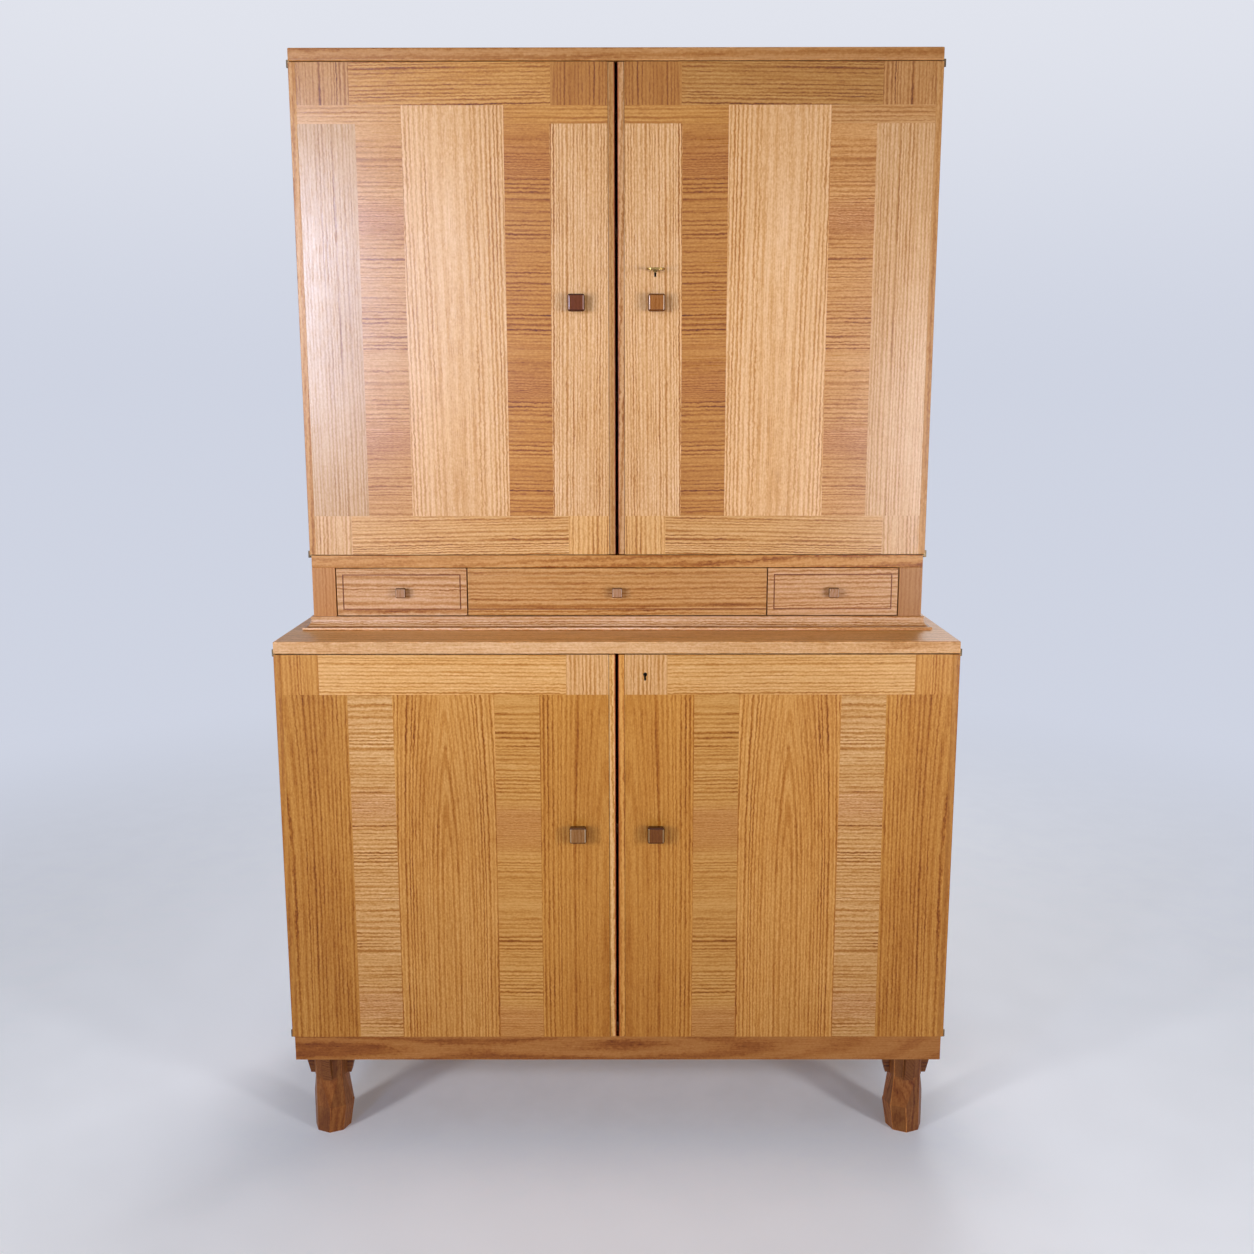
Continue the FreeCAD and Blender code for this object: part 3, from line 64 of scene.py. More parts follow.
# Colours of the woods, as the lacquered surface shows them in plain light
STAINS = {
    "straw": (0.66, 0.32, 0.092),
    "honey": (0.6, 0.303, 0.108),
    "wheat": (0.53, 0.247, 0.066),
    "oat": (0.54, 0.234, 0.046),
    "flax": (0.41, 0.164, 0.034),
    "amber": (0.49, 0.198, 0.034),
    "tawny": (0.43, 0.161, 0.021),
    "russet": (0.41, 0.148, 0.021),
    "rose": (0.46, 0.198, 0.048),
    "case": (0.5, 0.228, 0.074),
    "crown": (0.385, 0.152, 0.034),
    "sill": (0.545, 0.270, 0.096),
    "moulding": (0.5, 0.25, 0.098),
    "rail": (0.435, 0.172, 0.034),
    "post": (0.372, 0.146, 0.034),
    "small_drawer": (0.49, 0.230, 0.080),
    "wide_drawer": (0.45, 0.194, 0.047),
    "walnut": (0.32, 0.108, 0.017),
    "leg": (0.24, 0.068, 0.0085),
    "plum_knob": (0.125, 0.026, 0.005),
    "red_knob": (0.290, 0.094, 0.014),
    "brown_knob": (0.262, 0.108, 0.027),
    "dark_knob": (0.144, 0.039, 0.003),
    "pale_knob": (0.370, 0.178, 0.082),
    "pale": (0.64, 0.42, 0.200),
    "inside": (0.56, 0.31, 0.120),
}


class Bench:
    """Puts nodes into one tree and wires them."""

    def __init__(self, tree):
        self.tree = tree

    def feed(self, socket, value):
        if isinstance(value, bpy.types.NodeSocket):
            self.tree.links.new(value, socket)
        else:
            socket.default_value = value

    def node(self, kind, inputs=None, **settings):
        made = self.tree.nodes.new(kind)
        for name, value in settings.items():
            setattr(made, name, value)
        for name, value in (inputs or {}).items():
            self.feed(made.inputs[name], value)
        return made

    def sum(self, operation, *values):
        made = self.node("ShaderNodeMath", operation=operation)
        for socket, value in zip(made.inputs, values):
            self.feed(socket, value)
        return made.outputs[0]

    def vector_sum(self, operation, *values):
        made = self.node("ShaderNodeVectorMath", operation=operation)
        for socket, value in zip(made.inputs, values):
            self.feed(socket, value)
        return made.outputs[0]

    def scaled(self, place, scale):
        return self.vector_sum("MULTIPLY", place, (scale, scale, scale))

    def length(self, vector):
        return self.node("ShaderNodeVectorMath", {0: vector}, operation="LENGTH").outputs["Value"]

    def split(self, vector):
        made = self.node("ShaderNodeSeparateXYZ", {"Vector": vector})
        return made.outputs[0], made.outputs[1], made.outputs[2]

    def pack(self, x, y, z):
        return self.node("ShaderNodeCombineXYZ", {"X": x, "Y": y, "Z": z}).outputs[0]

    def noise(self, vector, detail=2.0, roughness=0.5):
        return self.node("ShaderNodeTexNoise", {"Vector": vector, "Scale": 1.0, "Detail": detail,
                                                "Roughness": roughness}).outputs["Fac"]

    def line_noise(self, place, detail=1.0):
        return self.node("ShaderNodeTexNoise", {"W": place, "Scale": 1.0, "Detail": detail},
                         noise_dimensions="1D").outputs["Fac"]

    def ramp(self, value, low, high, to_low=0.0, to_high=1.0, curve="SMOOTHSTEP"):
        return self.node("ShaderNodeMapRange", {"Value": value, "From Min": low, "From Max": high,
                                                "To Min": to_low, "To Max": to_high},
                         interpolation_type=curve).outputs["Result"]

    def blend(self, share, first, second, kind="MIX"):
        made = self.node("ShaderNodeMix", data_type="RGBA", blend_type=kind)
        self.feed(made.inputs[0], share)
        self.feed(made.inputs[6], first)
        self.feed(made.inputs[7], second)
        return made.outputs[2]

    def attribute(self, name, output="Vector"):
        return self.node("ShaderNodeAttribute", attribute_name=name).outputs[output]


def new_group(name, inputs, outputs):
    """An empty shader node group, its bench, and its input and output nodes."""
    tree = bpy.data.node_groups.new(name, "ShaderNodeTree")
    for direction, sockets in (("INPUT", inputs), ("OUTPUT", outputs)):
        for label, kind in sockets.items():
            tree.interface.new_socket(label, in_out=direction, socket_type=f"NodeSocket{kind}")
    bench = Bench(tree)
    return tree, bench, bench.node("NodeGroupInput").outputs, bench.node("NodeGroupOutput").inputs


# Peaked rings: how far they reach from the pith line, from where along it they rise and how gently, and
# how much weaker the lines are there
PEAK_REACH = 0.050
PEAK_START = 0.05
PEAK_SOFTNESS = 0.10
QUIET_PITH = 5.0

# Unevenness of the wood: scale along it, scale across it, a shift that tells the kinds apart and, where
# they aren't the usual ones, detail and roughness
SMALL_WANDER = (34.0, 60.0, 5.0)
FINE_WANDER = (120.0, 170.0, 8.0)
SLOW_WANDER = (1.5, 7.0, 0.0)
BROKEN_LINES = (9.0, 55.0, 17.0)
PORES = (45.0, 620.0, 11.0)
FIBRES = (9.0, 420.0, 23.0, 3.0, 0.65)
GRIT = (230.0, 330.0, 41.0, 1.0)
CLOUDS = (2.6, 11.0, 31.0)
SEED_SHIFT = 3.17
MEAN_NOISE = 0.5
SMALL_WANDER_DEPTH = 0.0022
FINE_WANDER_DEPTH = 0.0036

# Unevenness from ring to ring: scale along the radius, how far the seed shifts it and, for one, the detail
RING_SPACING = (36.0, 1.0, 2.0)
PLAIN_BANDS = (15.0, 5.1)
FINE_BANDS = (10.0, 2.3)
RING_SPACING_CHANGE = 2.0
RING_SEED = 17.3

# Strength of a ring's line: the least, what chance adds, its share in plain bands, how it breaks and tapers
LINE_LEAST = 0.45
LINE_CHANCE = 0.7
PLAIN_SHARE = 0.75
BANDED_LESS = -0.25
BAND_RAMP = (-0.14, 0.10)
BAND_MOST = 1.1
LINE_BREAK = 1.9
LINE_SHARPNESS = 1.7

# Bands of fine lines: where they come in and how far, lines to a ring, their strength and their colour
FINE_RAMP = (0.0, 0.22)
FINE_MOST = 0.85
FINE_LINES_PER_RING = 2.3
FINE_LINE_STRENGTH = 0.70
FINE_GREEN = -0.03
FINE_BLUE = 0.22

# Where pores show, the mean of the lines, and the share of the tone that each feature changes
PORE_RAMP = (0.52, 0.74)
MEAN_LINE = 0.33
EVEN_TONE = 0.03
LINE_TONE = -0.54
PORE_TONE = -0.20
FIBRE_TONE = 0.55
GRIT_TONE = 0.44
BAND_TONE = 0.16
CLOUD_TONE = 0.34
FINE_BAND_TONE = -0.05
DARKEST_TONE = 0.15

# Powers of the tone in each colour, because darker wood is also redder
RED_POWER = 0.80
GREEN_POWER = 1.36
BLUE_POWER = 2.7

# Roughness and height that pores, fibres and lines give the surface
PORE_ROUGHNESS = 0.10
FIBRE_ROUGHNESS = 0.10
LINE_HEIGHT = -0.35
PORE_HEIGHT = -0.5
FIBRE_HEIGHT = 0.6


def ring_grain():
    """Growth rings about a pith line, with pores, fibres, plain bands and slow changes of tone.

    Timber is a place along, across and through the wood, from the piece's middle. Pith gives the pith
    line's place across and through it, and how steeply the rings peak along it. Stock gives a seed, a
    ring width and a contrast; Bands is the strength of pinkish bands of fine lines.
    """
    tree, bench, given, result = new_group(
        "ring_grain",
        {"Timber": "Vector", "Pith": "Vector", "Stain": "Vector", "Stock": "Vector", "Bands": "Float",
         "Wave": "Float", "Fibre": "Float"},
        {"Color": "Color", "Roughness": "Float", "Height": "Float"})
    along, across, through = bench.split(given["Timber"])
    pith_across, pith_through, peak = bench.split(given["Pith"])
    seed, ring_width, contrast = bench.split(given["Stock"])

    def stretched(along_scale, across_scale, shift):
        moved = bench.sum("MULTIPLY_ADD", seed, SEED_SHIFT, shift)
        return bench.pack(bench.sum("MULTIPLY_ADD", along, along_scale, moved),
                          bench.sum("MULTIPLY", across, across_scale),
                          bench.sum("MULTIPLY", through, across_scale))

    def uneven(along_scale, across_scale, shift, detail=2.0, roughness=0.5):
        noise = bench.noise(stretched(along_scale, across_scale, shift), detail, roughness)
        return bench.sum("SUBTRACT", noise, MEAN_NOISE)

    def wavering(place):
        turn = bench.sum("MULTIPLY", place, math.tau)
        return bench.sum("MULTIPLY_ADD", bench.sum("COSINE", turn), -0.5, 0.5)

    def along_radius(scale, shift, detail=1.0):
        moved = bench.sum("MULTIPLY_ADD", radius, scale, bench.sum("MULTIPLY", seed, shift))
        return bench.sum("SUBTRACT", bench.line_noise(moved, detail), MEAN_NOISE)

    wander = bench.sum("MULTIPLY", uneven(*SMALL_WANDER), SMALL_WANDER_DEPTH)
    wander = bench.sum("MULTIPLY_ADD", uneven(*FINE_WANDER), FINE_WANDER_DEPTH, wander)
    wander = bench.sum("MULTIPLY_ADD", uneven(*SLOW_WANDER), given["Wave"], wander)
    aside = bench.sum("SUBTRACT", across, pith_across)
    radius = bench.length(bench.pack(aside, bench.sum("SUBTRACT", through, pith_through), 0.0))
    share_aside = bench.sum("DIVIDE", aside, PEAK_REACH)
    near_pith = bench.sum("DIVIDE", 1.0, bench.sum("MULTIPLY_ADD", share_aside, share_aside, 1.0))
    rise = bench.sum("SUBTRACT", along, PEAK_START)
    soft_rise = bench.sum("SQRT", bench.sum("MULTIPLY_ADD", rise, rise, PEAK_SOFTNESS ** 2))
    rise = bench.sum("ADD", rise, soft_rise)
    peak_here = bench.sum("MULTIPLY", peak, near_pith)
    quiet = bench.sum("MULTIPLY_ADD", peak_here, -QUIET_PITH, 1.0)
    half_peak = bench.sum("MULTIPLY", peak_here, 0.5)
    radius = bench.sum("ADD", bench.sum("MULTIPLY_ADD", half_peak, rise, radius), wander)

    ring = bench.sum("MULTIPLY_ADD", along_radius(*RING_SPACING), RING_SPACING_CHANGE,
                     bench.sum("DIVIDE", radius, ring_width))
    ring_number = bench.sum("MULTIPLY_ADD", seed, RING_SEED, bench.sum("FLOOR", ring))
    chance = bench.node("ShaderNodeTexWhiteNoise", {"W": ring_number}, noise_dimensions="1D")
    strength = bench.sum("MULTIPLY_ADD", chance.outputs["Value"], LINE_CHANCE, LINE_LEAST)
    band = along_radius(*PLAIN_BANDS)
    plain = bench.sum("MULTIPLY_ADD", given["Bands"], BANDED_LESS, PLAIN_SHARE)
    strength = bench.sum("MULTIPLY", strength, bench.ramp(band, *BAND_RAMP, plain, BAND_MOST))
    whole = bench.sum("MULTIPLY_ADD", uneven(*BROKEN_LINES), LINE_BREAK, 1.0)
    strength = bench.sum("MULTIPLY", bench.sum("MULTIPLY", strength, whole), quiet)
    line = bench.sum("MULTIPLY", bench.sum("POWER", wavering(ring), LINE_SHARPNESS), strength)
    fine = bench.ramp(along_radius(*FINE_BANDS), *FINE_RAMP, 0.0, FINE_MOST)
    fine = bench.sum("MULTIPLY", fine, given["Bands"])
    fine_line = wavering(bench.sum("MULTIPLY", ring, FINE_LINES_PER_RING))
    fine_line = bench.sum("MULTIPLY", fine_line, FINE_LINE_STRENGTH)
    line = bench.sum("MULTIPLY_ADD", fine, bench.sum("SUBTRACT", fine_line, line), line)

    pores = bench.ramp(bench.noise(stretched(*PORES), detail=1.0), *PORE_RAMP)
    fibres = uneven(*FIBRES)
    tone = bench.sum("MULTIPLY_ADD", bench.sum("SUBTRACT", line, MEAN_LINE), LINE_TONE, EVEN_TONE)
    for feature, share in (
            (pores, PORE_TONE), (bench.sum("MULTIPLY", fibres, given["Fibre"]), FIBRE_TONE),
            (uneven(*GRIT), GRIT_TONE), (band, BAND_TONE), (uneven(*CLOUDS), CLOUD_TONE),
            (fine, FINE_BAND_TONE)):
        tone = bench.sum("MULTIPLY_ADD", feature, share, tone)
    tone = bench.sum("MAXIMUM", bench.sum("MULTIPLY_ADD", tone, contrast, 1.0), DARKEST_TONE)
    red, green, blue = bench.split(given["Stain"])
    green = bench.sum("MULTIPLY", green, bench.sum("MULTIPLY_ADD", fine, FINE_GREEN, 1.0))
    blue = bench.sum("MULTIPLY", blue, bench.sum("MULTIPLY_ADD", fine, FINE_BLUE, 1.0))
    colour = bench.node("ShaderNodeCombineColor", {
        "Red": bench.sum("MULTIPLY", red, bench.sum("POWER", tone, RED_POWER)),
        "Green": bench.sum("MULTIPLY", green, bench.sum("POWER", tone, GREEN_POWER)),
        "Blue": bench.sum("MULTIPLY", blue, bench.sum("POWER", tone, BLUE_POWER))})
    roughness = bench.sum("MULTIPLY", fibres, FIBRE_ROUGHNESS)
    roughness = bench.sum("MULTIPLY_ADD", pores, PORE_ROUGHNESS, roughness)
    height = bench.sum("MULTIPLY_ADD", pores, PORE_HEIGHT, bench.sum("MULTIPLY", fibres, FIBRE_HEIGHT))
    height = bench.sum("MULTIPLY_ADD", line, LINE_HEIGHT, height)
    bench.feed(result["Color"], colour.outputs[0])
    bench.feed(result["Roughness"], roughness)
    bench.feed(result["Height"], height)
    return tree


# Wear: scale of the rubbed patches and of the grime, and what they do to the colour and the roughness
RUB_SCALE = 38.0
RUB_RAMP = (0.36, 0.66)
RUB_PALER = (1.32, 1.34, 1.40, 1.0)
RUB_ROUGHNESS = 0.08
GRIME_SCALE = 3.1
GRIME_RAMP = (0.35, 0.75)
GRIME_DULLER = (0.86, 0.84, 0.82, 1.0)
GRIME_ROUGHNESS = 0.05


def worn_edges():
    """Eased edges rubbed paler in patches, and slight grime and handling over the whole surface."""
    tree, bench, given, result = new_group(
        "worn_edges",
        {"Color": "Color", "Place": "Vector", "Arris": "Float", "Rub": "Float", "Grime": "Float"},
        {"Color": "Color", "Roughness": "Float"})
    patch = bench.ramp(bench.noise(bench.scaled(given["Place"], RUB_SCALE), detail=3.0), *RUB_RAMP)
    rubbed = bench.sum("MULTIPLY", bench.sum("MULTIPLY", given["Arris"], given["Rub"]), patch)
    haze = bench.ramp(bench.noise(bench.scaled(given["Place"], GRIME_SCALE), detail=4.0), *GRIME_RAMP)
    paler = bench.blend(1.0, given["Color"], RUB_PALER, "MULTIPLY")
    duller = bench.blend(1.0, given["Color"], GRIME_DULLER, "MULTIPLY")
    aged = bench.blend(bench.sum("MULTIPLY", haze, given["Grime"]), given["Color"], duller)
    roughness = bench.sum("MULTIPLY", rubbed, RUB_ROUGHNESS)
    bench.feed(result["Color"], bench.blend(rubbed, aged, paler))
    bench.feed(result["Roughness"], bench.sum("MULTIPLY_ADD", haze, GRIME_ROUGHNESS, roughness))
    return tree


# Tarnish: scale of its clouds and of the rubbing marks, how much cleaner an arris is, and what the clouds
# and marks do to the roughness and the height
CLOUD_SCALE = 60.0
CLOUD_RAMP = (0.30, 0.74)
MARK_SCALE = (2600.0, 500.0, 500.0)
ARRIS_CLEANER = -0.8
CLOUD_ROUGHNESS = 0.24
MARK_ROUGHNESS = 0.10
CLOUD_HEIGHT = 0.5
MARK_HEIGHT = 0.5


def tarnish():
    """Metal with clouded patches and fine rubbing marks."""
    tree, bench, given, result = new_group(
        "tarnish",
        {"Place": "Vector", "Clean": "Color", "Dull": "Color", "Arris": "Float", "Amount": "Float"},
        {"Color": "Color", "Roughness": "Float", "Height": "Float"})
    cloud = bench.ramp(bench.noise(bench.scaled(given["Place"], CLOUD_SCALE), detail=4.0), *CLOUD_RAMP)
    marks = bench.noise(bench.vector_sum("MULTIPLY", given["Place"], MARK_SCALE))
    share = bench.sum("MULTIPLY", bench.sum("MULTIPLY", cloud, given["Amount"]),
                      bench.sum("MULTIPLY_ADD", given["Arris"], ARRIS_CLEANER, 1.0))
    roughness = bench.sum("MULTIPLY", marks, MARK_ROUGHNESS)
    height = bench.sum("MULTIPLY_ADD", marks, MARK_HEIGHT, bench.sum("MULTIPLY", cloud, CLOUD_HEIGHT))
    bench.feed(result["Color"], bench.blend(share, given["Clean"], given["Dull"]))
    bench.feed(result["Roughness"], bench.sum("MULTIPLY_ADD", share, CLOUD_ROUGHNESS, roughness))
    bench.feed(result["Height"], height)
    return tree


RING_GRAIN = ring_grain()
WORN_EDGES = worn_edges()
TARNISH = tarnish()

# Lacquer over the wood, and how deep the grain and the marks on metal are
LACQUER_IOR = 1.5
GRAIN_DEPTH = 0.0006
MARK_RELIEF = 0.2
MARK_DEPTH = 0.0001


def new_material(name):
    """A material, its bench and the bare shader on it."""
    material = bpy.data.materials.new(name)
    material.use_nodes = True
    material.node_tree.nodes.clear()
    bench = Bench(material.node_tree)
    shader = bench.node("ShaderNodeBsdfPrincipled")
    output = bench.node("ShaderNodeOutputMaterial")
    bench.feed(output.inputs["Surface"], shader.outputs[0])
    return material, bench, shader


def wood_finish(name, gloss, wave, fibre=1.0, rub=0.5, grime=0.5, relief=0.12, sheen=0.33):
    """Lacquered wood.

    gloss is the roughness of its film, sheen how strongly the film mirrors, wave how far the rings wander,
    fibre the strength of the fibres, rub and grime the wear, and relief how deep the grain feels.
    """
    material, bench, shader = new_material(name)
    grain = bench.node("ShaderNodeGroup", node_tree=RING_GRAIN)
    for label in ("Timber", "Pith", "Stain", "Stock"):
        bench.feed(grain.inputs[label], bench.attribute(label.lower()))
    bench.feed(grain.inputs["Bands"], bench.attribute("bands", "Fac"))
    grain.inputs["Wave"].default_value = wave
    grain.inputs["Fibre"].default_value = fibre
    edges = bench.node("ShaderNodeGroup", {
        "Color": grain.outputs["Color"], "Place": bench.node("ShaderNodeTexCoord").outputs["Object"],
        "Arris": bench.attribute("arris", "Fac"), "Rub": rub, "Grime": grime}, node_tree=WORN_EDGES)
    bench.feed(shader.inputs["Base Color"], edges.outputs["Color"])
    film = bench.sum("ADD", grain.outputs["Roughness"], edges.outputs["Roughness"])
    bench.feed(shader.inputs["Roughness"], bench.sum("ADD", film, gloss))
    bump = bench.node("ShaderNodeBump", {"Strength": relief, "Distance": GRAIN_DEPTH,
                                         "Height": grain.outputs["Height"]})
    bench.feed(shader.inputs["Normal"], bump.outputs[0])
    shader.inputs["IOR"].default_value = LACQUER_IOR
    shader.inputs["Specular IOR Level"].default_value = sheen
    return material


def metal_finish(name, clean, dull, amount, gloss):
    """Metal, clean and dull in patches: amount is how far it is tarnished, gloss its clean roughness."""
    material, bench, shader = new_material(name)
    skin = bench.node("ShaderNodeGroup", {
        "Place": bench.node("ShaderNodeTexCoord").outputs["Object"], "Clean": (*clean, 1.0),
        "Dull": (*dull, 1.0), "Arris": bench.attribute("arris", "Fac"), "Amount": amount}, node_tree=TARNISH)
    bench.feed(shader.inputs["Base Color"], skin.outputs["Color"])
    bench.feed(shader.inputs["Roughness"], bench.sum("ADD", skin.outputs["Roughness"], gloss))
    bump = bench.node("ShaderNodeBump", {"Strength": MARK_RELIEF, "Distance": MARK_DEPTH,
                                         "Height": skin.outputs["Height"]})
    bench.feed(shader.inputs["Normal"], bump.outputs[0])
    shader.inputs["Metallic"].default_value = 1.0
    return material


FINISHES = {
    "door_veneer": wood_finish("door_veneer", 0.28, 0.0075, relief=0.16, sheen=0.48),
    "lower_veneer": wood_finish("lower_veneer", 0.30, 0.0075, relief=0.16, sheen=0.28),
    "case_wood": wood_finish("case_wood", 0.36, 0.0100, rub=0.7),
    "base_wood": wood_finish("base_wood", 0.32, 0.0300, rub=0.6),
    "leg_wood": wood_finish("leg_wood", 0.40, 0.0140, rub=0.8, grime=0.8),
    "knob_wood": wood_finish("knob_wood", 0.14, 0.0060, rub=0.0, grime=0.6),
    "inside_wood": wood_finish("inside_wood", 0.42, 0.0100, rub=0.4),
    "brass": metal_finish("brass", (0.58, 0.36, 0.11), (0.11, 0.065, 0.024), 0.9, 0.15),
    "dark_brass": metal_finish("dark_brass", (0.20, 0.135, 0.070), (0.060, 0.040, 0.026), 0.8, 0.34),
    "lock_steel": metal_finish("lock_steel", (0.42, 0.41, 0.38), (0.20, 0.18, 0.155), 0.7, 0.42),
    "lock_iron": metal_finish("lock_iron", (0.085, 0.080, 0.072), (0.035, 0.030, 0.026), 0.7, 0.46),
    "screw_steel": metal_finish("screw_steel", (0.46, 0.44, 0.40), (0.20, 0.17, 0.13), 0.8, 0.40),
}

# Digits of a metre in which the corners that triangles share agree
PLACE_DIGITS = 7


def solid_spans(mesh):
    """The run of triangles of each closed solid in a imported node's mesh."""
    places = [tuple(round(c, PLACE_DIGITS) for c in vertex.co) for vertex in mesh.vertices]
    unmatched = set()
    spans = []
    start = 0
    for face in mesh.polygons:
        corners = [places[i] for i in face.vertices]
        for edge in zip(corners, corners[1:] + corners[:1]):
            if edge[::-1] in unmatched:
                unmatched.remove(edge[::-1])
            else:
                unmatched.add(edge)
        if not unmatched:
            spans.append((start, face.index + 1))
            start = face.index + 1
    if start < len(mesh.polygons):
        spans.append((start, len(mesh.polygons)))
    return spans


# Chances of a piece of wood: its seed, the place and peak of a pith line that isn't given, and its lean
SEEDS = (1.0, 90.0)
PITH_ACROSS = (0.05, 0.22)
PITH_THROUGH = (0.05, 0.15)
PITH_PEAK = 0.004
MOST_LEAN = 0.018

# How far along the wood each stacked piece is cut from the one before
PIECE_SHIFT = 0.13

# A face with more than this on its arris layer is part of an eased edge
MARKED = 0.5


class Solid:
    """One solid of a node, welded into clean faces, with the layers that its wood needs."""

    def __init__(self, mesh, span):
        self.bm = bmesh.new()
        self.bm.from_mesh(mesh)
        self.timber = self.bm.loops.layers.float_vector.new("timber")
        self.pith = self.bm.faces.layers.float_vector.new("pith")
        self.stain = self.bm.faces.layers.float_vector.new("stain")
        self.stock = self.bm.faces.layers.float_vector.new("stock")
        self.arris = self.bm.faces.layers.float.new("arris")
        self.bands = self.bm.faces.layers.float.new("bands")
        spare = [face for face in self.bm.faces if not span[0] <= face.index < span[1]]
        if spare:
            bmesh.ops.delete(self.bm, geom=spare, context="FACES")
        bmesh.ops.remove_doubles(self.bm, verts=self.bm.verts, dist=WELD)
        bmesh.ops.dissolve_limit(self.bm, angle_limit=FLAT_ANGLE, verts=self.bm.verts, edges=self.bm.edges,
                                 use_dissolve_boundaries=False, delimit=set())
        self.measure()

    def measure(self):
        places = [vertex.co for vertex in self.bm.verts]
        self.low = Vector([min(p[axis] for p in places) for axis in (X, Y, Z)])
        self.high = Vector([max(p[axis] for p in places) for axis in (X, Y, Z)])
        self.size = self.high - self.low
        self.centre = (self.low + self.high) / 2

    def on_outer_edge(self, edge):
        """True where an edge lies along an edge of the solid's box."""
        met = 0
        for axis in (X, Y, Z):
            for limit in (self.low[axis], self.high[axis]):
                if all(abs(vertex.co[axis] - limit) < EDGE_TOLERANCE for vertex in edge.verts):
                    met += 1
        return met == 2

    def ease(self, width, segments=2, choose=None):
        """Round the creased edges that choose() picks, and mark the new faces."""
        edges = [edge for edge in self.bm.edges if len(edge.link_faces) == 2
                 and edge.calc_face_angle(0.0) > CREASE_ANGLE and (choose is None or choose(edge))]
        if edges:
            made = bmesh.ops.bevel(self.bm, geom=edges, offset=width, offset_type="OFFSET", affect="EDGES",
                                   segments=segments, profile=0.5, material=-1, clamp_overlap=True)
            for face in made["faces"]:
                face[self.arris] = 1.0

    def split(self, place, normal):
        """Divide the faces along a plane."""
        bmesh.ops.bisect_plane(self.bm, geom=self.bm.verts[:] + self.bm.edges[:] + self.bm.faces[:],
                               plane_co=place, plane_no=normal, dist=WELD)

    def saw(self, name, stain, grain=None, pith=None, ring=0.0052, contrast=1.0, mirror=False, repeat=0.0,
            tone=1.0, bands=0.0):
        """Lay the wood's grain through the solid.

        grain is the axis along it, or the longest; pith gives the pith line's place across and through
        the wood, from the solid's middle, and how steeply the rings peak along it; mirror turns the wood
        over, and repeat is the width of stacked pieces.
        """
        chance = random.Random(name)
        sizes = list(self.size)
        along = sizes.index(max(sizes)) if grain is None else grain
        others = sorted((axis for axis in (X, Y, Z) if axis != along), key=lambda axis: -sizes[axis])
        across, through = others
        seed = round(chance.uniform(*SEEDS), 3)
        if pith is None:
            pith = (chance.choice((-1, 1)) * chance.uniform(*PITH_ACROSS),
                    chance.choice((-1, 1)) * chance.uniform(*PITH_THROUGH),
                    chance.uniform(-PITH_PEAK, PITH_PEAK))
        lean = chance.uniform(-MOST_LEAN, MOST_LEAN)
        colour = Vector([channel * tone for channel in STAINS[stain]])
        if repeat:
            seams = int(sizes[across] / repeat)
            for count in range(1, seams + 1):
                seam = self.centre.copy()
                seam[across] = self.high[across] - count * repeat
                self.split(seam, Vector([float(axis == across) for axis in (X, Y, Z)]))
        flip = [-1.0 if mirror and axis == X else 1.0 for axis in (X, Y, Z)]
        for face in self.bm.faces:
            face[self.pith] = pith
            face[self.stain] = colour
            face[self.stock] = (seed, ring, contrast)
            face[self.bands] = bands
            piece = 0
            if repeat:
                piece = int((self.high[across] - face.calc_center_median()[across]) / repeat)
            for loop in face.loops:
                place = [(loop.vert.co[axis] - self.centre[axis]) * flip[axis] for axis in (X, Y, Z)]
                loop[self.timber] = (place[along] + PIECE_SHIFT * piece,
                                     place[across] + repeat * piece + lean * place[along], place[through])

    def restain(self, shares_of):
        """Change each face's red, green and blue by the shares that shares_of(face) gives, if any."""
        for face in self.bm.faces:
            shares = shares_of(face)
            if shares:
                face[self.stain] = [channel * share for channel, share in zip(face[self.stain], shares)]

    def finish(self, mesh):
        """Add the solid to a mesh's faces, smooth where its faces turn gently."""
        for face in self.bm.faces:
            face.smooth = True
        for edge in self.bm.edges:
            eased = any(face[self.arris] > MARKED for face in edge.link_faces)
            limit = ARRIS_ANGLE if eased else CREASE_ANGLE
            edge.smooth = len(edge.link_faces) == 2 and edge.calc_face_angle(0.0) < limit
        part = bpy.data.meshes.new("part")
        self.bm.to_mesh(part)
        self.bm.free()
        mesh.from_mesh(part)
        bpy.data.meshes.remove(part)


SLOT_OF = {part["node"]: part["material_slot"] for part in frame["record"]["subparts"]}
BODY_OF = {node: body for body, nodes in frame["record"]["behaviour"]["bodies"].items() for node in nodes}


def dress(node, shape, finish=None):
    """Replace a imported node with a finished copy: shape(solid, index) works each of its solids."""
    source = frame["nodes"][node].data
    joined = bmesh.new()
    for index, span in enumerate(solid_spans(source)):
        solid = Solid(source, span)
        shape(solid, index)
        solid.finish(joined)
    mesh = bpy.data.meshes.new(f"{node}_finished")
    joined.to_mesh(mesh)
    joined.free()
    mesh.materials.append(FINISHES[finish or SLOT_OF[node]])
    piece = bpy.data.objects.new(f"{node}_finished", mesh)
    bpy.context.scene.collection.objects.link(piece)
    piece.modifiers.new("flat_faces", "WEIGHTED_NORMAL").keep_sharp = True
    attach(piece, BODY_OF[node])
    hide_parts(node)
    return piece


def side_of(node):
    """The side that a door's node is on."""
    return "left" if "left" in node else "right"


